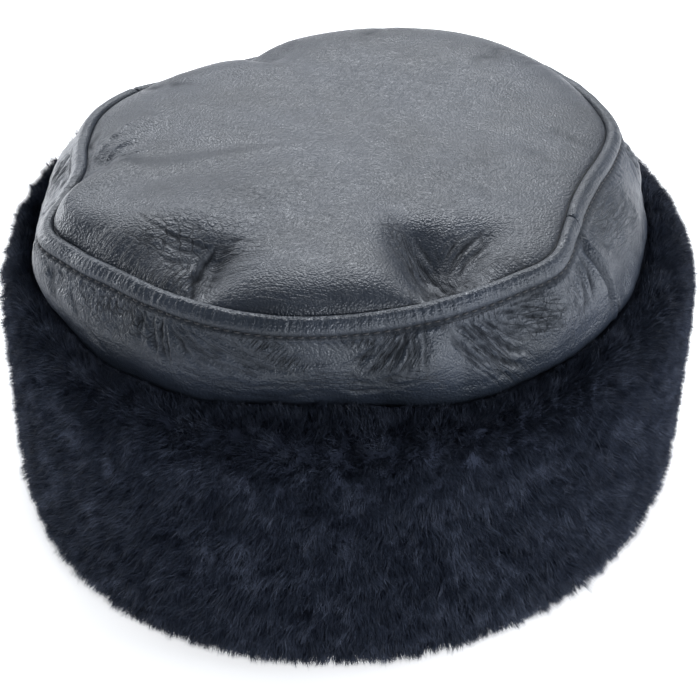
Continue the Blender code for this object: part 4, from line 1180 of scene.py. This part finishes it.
def leather(name, low, high, rough_low, rough_high):
    """Dyed nappa: a pebbled grain, tiny pores, faint long creases and a soft uneven shine."""
    material, tree, shader = new_material(name)
    link = tree.links.new
    place = node(tree, "ShaderNodeTexCoord").outputs["Object"]
    clouds = node(tree, "ShaderNodeTexNoise", Scale=38.0, Detail=2.0, Roughness=0.6)
    link(place, clouds.inputs["Vector"])
    colour = ramp(tree, clouds.outputs["Fac"], ((0.32, low), (0.68, high)))
    shine = node(tree, "ShaderNodeTexNoise", Scale=120.0, Detail=3.0, Roughness=0.65)
    link(place, shine.inputs["Vector"])
    rough = node(tree, "ShaderNodeMapRange")
    rough.inputs["From Min"].default_value, rough.inputs["From Max"].default_value = 0.3, 0.7
    rough.inputs["To Min"].default_value, rough.inputs["To Max"].default_value = rough_low, rough_high
    link(shine.outputs["Fac"], rough.inputs["Value"])
    # grain: rounded pebbles about 0.7 mm, some larger, and a fine tooth
    bend = node(tree, "ShaderNodeTexNoise", Scale=420.0, Detail=2.0)
    link(place, bend.inputs["Vector"])
    mixed = node(tree, "ShaderNodeVectorMath", operation="MULTIPLY_ADD")
    mixed.inputs[1].default_value = (0.0011, 0.0011, 0.0011)
    link(bend.outputs["Color"], mixed.inputs[0])
    link(place, mixed.inputs[2])
    pebbles = node(tree, "ShaderNodeTexVoronoi", Scale=1350.0, feature="F1")
    link(mixed.outputs["Vector"], pebbles.inputs["Vector"])
    large = node(tree, "ShaderNodeTexVoronoi", Scale=430.0, feature="DISTANCE_TO_EDGE")
    link(mixed.outputs["Vector"], large.inputs["Vector"])
    net = node(tree, "ShaderNodeMapRange")
    net.inputs["From Max"].default_value = 0.10
    link(large.outputs["Distance"], net.inputs["Value"])
    tooth = node(tree, "ShaderNodeTexNoise", Scale=3200.0, Detail=1.0, Roughness=0.7)
    link(place, tooth.inputs["Vector"])
    bump = None
    # the finest creases, a cracked net and drawn lines, only where the mesh marks them
    marks = node(tree, "ShaderNodeSeparateColor")
    link(node(tree, "ShaderNodeAttribute", attribute_name="marks").outputs["Color"], marks.inputs["Color"])
    wander = node(tree, "ShaderNodeTexNoise", Scale=260.0, Detail=1.0)
    link(place, wander.inputs["Vector"])
    bent = node(tree, "ShaderNodeVectorMath", operation="MULTIPLY_ADD")
    bent.inputs[1].default_value = (0.0034, 0.0034, 0.0034)
    link(wander.outputs["Color"], bent.inputs[0])
    link(place, bent.inputs[2])
    cells = node(tree, "ShaderNodeTexVoronoi", Scale=290.0, feature="DISTANCE_TO_EDGE")
    link(bent.outputs["Vector"], cells.inputs["Vector"])
    lines = node(tree, "ShaderNodeTexNoise", Scale=0.50, Detail=3.0, Roughness=0.5, Distortion=0.25)
    squeeze = node(tree, "ShaderNodeMapping")
    squeeze.inputs["Scale"].default_value = (0.12, 1.0, 1.0)
    link(node(tree, "ShaderNodeUVMap", uv_map="flow").outputs["UV"], squeeze.inputs["Vector"])
    link(squeeze.outputs["Vector"], lines.inputs["Vector"])
    centred = node(tree, "ShaderNodeMath", operation="SUBTRACT")
    link(lines.outputs["Fac"], centred.inputs[0])
    centred.inputs[1].default_value = 0.5
    folded = node(tree, "ShaderNodeMath", operation="ABSOLUTE")
    link(centred.outputs["Value"], folded.inputs[0])

    def crack(distance, width, mask):
        """1 on whole leather, falling to 1 - mask in the crack."""
        open_crack = node(tree, "ShaderNodeMapRange")
        open_crack.inputs["From Max"].default_value = width
        link(distance, open_crack.inputs["Value"])
        whole = node(tree, "ShaderNodeMath", operation="SUBTRACT")
        whole.inputs[0].default_value = 1.0
        link(open_crack.outputs["Result"], whole.inputs[1])
        part = node(tree, "ShaderNodeMath", operation="MULTIPLY")
        link(whole.outputs["Value"], part.inputs[0])
        link(mask, part.inputs[1])
        out = node(tree, "ShaderNodeMath", operation="SUBTRACT")
        out.inputs[0].default_value = 1.0
        link(part.outputs["Value"], out.inputs[1])
        return out.outputs["Value"]

    netted = crack(cells.outputs["Distance"], 0.13, marks.outputs["Red"])
    lined = crack(folded.outputs["Value"], 0.045, marks.outputs["Green"])
    dull = node(tree, "ShaderNodeMath", operation="MULTIPLY")
    link(netted, dull.inputs[0])
    link(lined, dull.inputs[1])
    open_part = node(tree, "ShaderNodeMath", operation="SUBTRACT")
    open_part.inputs[0].default_value = 1.0
    link(marks.outputs["Blue"], open_part.inputs[1])
    whole = node(tree, "ShaderNodeMath", operation="MULTIPLY")
    link(dull.outputs["Value"], whole.inputs[0])
    link(open_part.outputs["Value"], whole.inputs[1])
    # painted shade: the base colour is darkened, down to 0.4, in the fine cracks and lines and in the creases, seams
    # and stitched groove that the mesh marks in blue; there the leather also turns rougher
    painted_crease_shade = node(tree, "ShaderNodeMapRange")
    painted_crease_shade.inputs["To Min"].default_value, painted_crease_shade.inputs["To Max"].default_value = 0.4, 1.0
    link(whole.outputs["Value"], painted_crease_shade.inputs["Value"])
    deep = node(tree, "ShaderNodeVectorMath", operation="SCALE")
    link(colour.outputs["Color"], deep.inputs[0])
    link(painted_crease_shade.outputs["Result"], deep.inputs["Scale"])
    link(deep.outputs["Vector"], shader.inputs["Base Color"])
    rougher = node(tree, "ShaderNodeMix", data_type="FLOAT")
    rougher.inputs["A"].default_value = 1.0
    link(whole.outputs["Value"], rougher.inputs["Factor"])
    link(rough.outputs["Result"], rougher.inputs["B"])
    link(rougher.outputs["Result"], shader.inputs["Roughness"])
    for height, strength, distance in ((netted, 1.0, 0.00038), (lined, 1.0, 0.00042),
                                       (net.outputs["Result"], 0.18, 0.00014), (pebbles.outputs["Distance"], -0.72, 0.00026),
                                       (tooth.outputs["Fac"], 0.4, 0.00010)):
        made = node(tree, "ShaderNodeBump", Strength=abs(strength), Distance=distance)
        made.invert = strength < 0
        link(height, made.inputs["Height"])
        if bump is not None:
            link(bump.outputs["Normal"], made.inputs["Normal"])
        bump = made
    link(bump.outputs["Normal"], shader.inputs["Normal"])
    shader.inputs["IOR"].default_value = 1.5
    shader.inputs["Specular IOR Level"].default_value = 0.5
    shader.inputs["Specular Tint"].default_value = (0.95, 0.98, 1.0, 1.0)
    return material


def suede(name, low, high):
    """The flesh side of a skin: dull, with a short nap."""
    material, tree, shader = new_material(name)
    link = tree.links.new
    place = node(tree, "ShaderNodeTexCoord").outputs["Object"]
    clouds = node(tree, "ShaderNodeTexNoise", Scale=70.0, Detail=6.0, Roughness=0.65)
    link(place, clouds.inputs["Vector"])
    link(ramp(tree, clouds.outputs["Fac"], ((0.3, low), (0.7, high))).outputs["Color"], shader.inputs["Base Color"])
    nap = node(tree, "ShaderNodeTexNoise", Scale=1500.0, Detail=4.0, Roughness=0.7)
    link(place, nap.inputs["Vector"])
    bump = node(tree, "ShaderNodeBump", Strength=0.5, Distance=0.0003)
    link(nap.outputs["Fac"], bump.inputs["Height"])
    link(bump.outputs["Normal"], shader.inputs["Normal"])
    shader.inputs["Roughness"].default_value = 0.95
    shader.inputs["Specular IOR Level"].default_value = 0.2
    return material


def pile_material():
    """Blue-black hair, a little lighter in drifting patches."""
    material, tree, shader = new_material("fur_pile")
    link = tree.links.new
    place = node(tree, "ShaderNodeTexCoord").outputs["Object"]
    patches = node(tree, "ShaderNodeTexNoise", Scale=95.0, Detail=4.0, Roughness=0.68)
    link(place, patches.inputs["Vector"])
    body = ramp(tree, patches.outputs["Fac"], ((0.30, (0.018, 0.024, 0.040)), (0.52, (0.028, 0.036, 0.058)), (0.70, (0.082, 0.098, 0.142))))
    strands = node(tree, "ShaderNodeTexNoise", Scale=1100.0, Detail=1.0, Roughness=0.6)
    link(place, strands.inputs["Vector"])
    shades = ramp(tree, strands.outputs["Fac"], ((0.35, (0.55, 0.55, 0.57)), (0.65, (1.35, 1.35, 1.32))))
    # less light reaches the hairs close under the crown
    heights = node(tree, "ShaderNodeSeparateXYZ")
    link(place, heights.inputs["Vector"])
    shade = ramp(tree, heights.outputs["Z"], ((0.076, (1.1, 1.1, 1.1)), (0.090, (0.78, 0.78, 0.78))))
    # painted light: the left side of the pile is painted lighter, as if lit from the left
    painted_left_light = ramp(tree, heights.outputs["X"], ((0.0, (1.5, 1.5, 1.46)), (0.065, (1.0, 1.0, 1.0))))
    aside = node(tree, "ShaderNodeMath", operation="ADD")
    aside.inputs[1].default_value = 0.115
    link(heights.outputs["X"], aside.inputs[0])
    link(aside.outputs["Value"], painted_left_light.inputs["Fac"])
    colour = body.outputs["Color"]
    for other in (shades.outputs["Color"], shade.outputs["Color"], painted_left_light.outputs["Color"]):
        mixed = node(tree, "ShaderNodeMix", data_type="RGBA", blend_type="MULTIPLY")
        mixed.inputs["Factor"].default_value = 1.0
        link(colour, mixed.inputs["A"])
        link(other, mixed.inputs["B"])
        colour = mixed.outputs["Result"]
    link(colour, shader.inputs["Base Color"])
    shader.inputs["Roughness"].default_value = 0.55
    shader.inputs["Specular IOR Level"].default_value = 0.28
    return material


def thread_material():
    material, tree, shader = new_material("thread")
    link = tree.links.new
    place = node(tree, "ShaderNodeTexCoord").outputs["Object"]
    twist = node(tree, "ShaderNodeTexWave", Scale=900.0, Distortion=2.0)
    link(place, twist.inputs["Vector"])
    link(ramp(tree, twist.outputs["Fac"], ((0.2, (0.008, 0.008, 0.010)), (0.8, (0.030, 0.031, 0.036)))).outputs["Color"],
         shader.inputs["Base Color"])
    bump = node(tree, "ShaderNodeBump", Strength=0.4, Distance=0.0001)
    link(twist.outputs["Fac"], bump.inputs["Height"])
    link(bump.outputs["Normal"], shader.inputs["Normal"])
    shader.inputs["Roughness"].default_value = 0.5
    return material


# ---- building the hat ----
TOP_LEATHER = leather("leather_top_skin", (0.013, 0.017, 0.025), (0.023, 0.029, 0.042), 0.32, 0.44)
SIDE_LEATHER = leather("leather_side_skin", (0.014, 0.019, 0.028), (0.024, 0.031, 0.046), 0.31, 0.43)
PELT = suede("pelt_skin", (0.030, 0.030, 0.034), (0.055, 0.055, 0.060))
UNDERFUR = suede("under_fur", (0.016, 0.020, 0.035), (0.032, 0.040, 0.064))
THREAD = thread_material()
PILE = pile_material()

top = make_top(TOP_LEATHER)
front_side = make_side("side_panel_front", SIDE_SEAM_ANGLE - 180.0, 761, 113, SIDE_LEATHER)
back_side = make_side("side_panel_back", SIDE_SEAM_ANGLE, 481, 77, SIDE_LEATHER)
stitches = [make_stitches("stitches_front", front_side, THREAD), make_stitches("stitches_back", back_side, THREAD)]
pelt = make_pelt((PELT, UNDERFUR))
hairs = make_hairs(PILE)

for piece, node_name, slot in ((top, "crown_top", "leather_top"), (front_side[0], "crown_side_front", "leather_side"),
                               (back_side[0], "crown_side_back", "leather_side"), (pelt, "fur_band", "fur")):
    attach(piece, "root")
    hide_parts(node_name)
for piece, node_name in zip(stitches, ("crown_side_front", "crown_side_back")):
    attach(piece, "root")
    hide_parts(node_name)
for piece in hairs:
    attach(piece, "root")
    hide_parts("fur_band")


# ---- floor, light and camera ----
def area_light(name, place, target, width, height, power, colour=(1.0, 1.0, 1.0)):
    data = bpy.data.lights.new(name, "AREA")
    data.shape, data.size, data.size_y = "RECTANGLE", width, height
    data.energy, data.color = power, colour
    obj = bpy.data.objects.new(name, data)
    obj.location = place
    obj.rotation_euler = (Vector(target) - Vector(place)).to_track_quat("-Z", "Y").to_euler()
    bpy.context.scene.collection.objects.link(obj)
    return obj


floor_mesh = bpy.data.meshes.new("floor")
floor_mesh.from_pydata([(-3, -3, 0), (3, -3, 0), (3, 3, 0), (-3, 3, 0)], [], [(0, 1, 2, 3)])
floor = bpy.data.objects.new("floor", floor_mesh)
bpy.context.scene.collection.objects.link(floor)
FLOOR, floor_tree, floor_shader = new_material("floor")
floor_shader.inputs["Base Color"].default_value = (0.92, 0.92, 0.93, 1.0)
floor_shader.inputs["Roughness"].default_value = 0.9
floor_shader.inputs["Specular IOR Level"].default_value = 0.1
floor_shader.inputs["Emission Color"].default_value = (1.0, 1.0, 1.0, 1.0)
floor_shader.inputs["Emission Strength"].default_value = 0.55
floor_mesh.materials.append(FLOOR)

world = bpy.data.worlds.new("studio")
world.use_nodes = True
world.node_tree.nodes["Background"].inputs["Color"].default_value = (0.86, 0.93, 1.0, 1.0)
world.node_tree.nodes["Background"].inputs["Strength"].default_value = 0.185
bpy.context.scene.world = world

COOL = (0.94, 0.965, 1.01)
area_light("softbox_behind", (-0.38, 1.20, 1.08), (0.0, 0.0, 0.1), 2.4, 1.3, 27.0, COOL)
area_light("softbox_left", (-1.30, 0.52, 0.37), (0.0, 0.0, 0.08), 1.2, 0.7, 7.0, COOL)
area_light("softbox_left_low", (-1.40, 0.26, 0.26), (0.0, 0.0, 0.08), 0.9, 0.45, 9.0, COOL)
area_light("softbox_right", (1.35, 0.25, 0.50), (0.0, 0.0, 0.08), 1.0, 0.9, 16.0, COOL)
area_light("softbox_glow", (-0.31, 0.98, 1.23), (0.0, 0.0, 0.12), 0.30, 0.24, 8.0, COOL)
area_light("softbox_front", (0.10, -1.50, 0.40), (0.0, 0.0, 0.06), 1.6, 0.6, 0.3, COOL)
area_light("softbox_front_right", (1.02, -1.12, 0.66), (0.0, 0.0, 0.08), 0.6, 0.55, 15.0, COOL)

camera_data = bpy.data.cameras.new("camera")
camera_data.sensor_width = 36.0
camera_data.lens = 1730.84 / 700.0 * 36.0
camera_data.clip_start, camera_data.clip_end = 0.01, 20.0
camera = bpy.data.objects.new("camera", camera_data)
AZIMUTH, PITCH = math.radians(17.434842), 0.6268845
camera.location = (0.4959739 * math.sin(AZIMUTH), -0.4959739 * math.cos(AZIMUTH), 0.3977918)
camera.rotation_euler = (math.pi / 2.0 - PITCH, 0.0, AZIMUTH)
bpy.context.scene.collection.objects.link(camera)
bpy.context.scene.camera = camera
bpy.context.scene.view_settings.view_transform = "Standard"
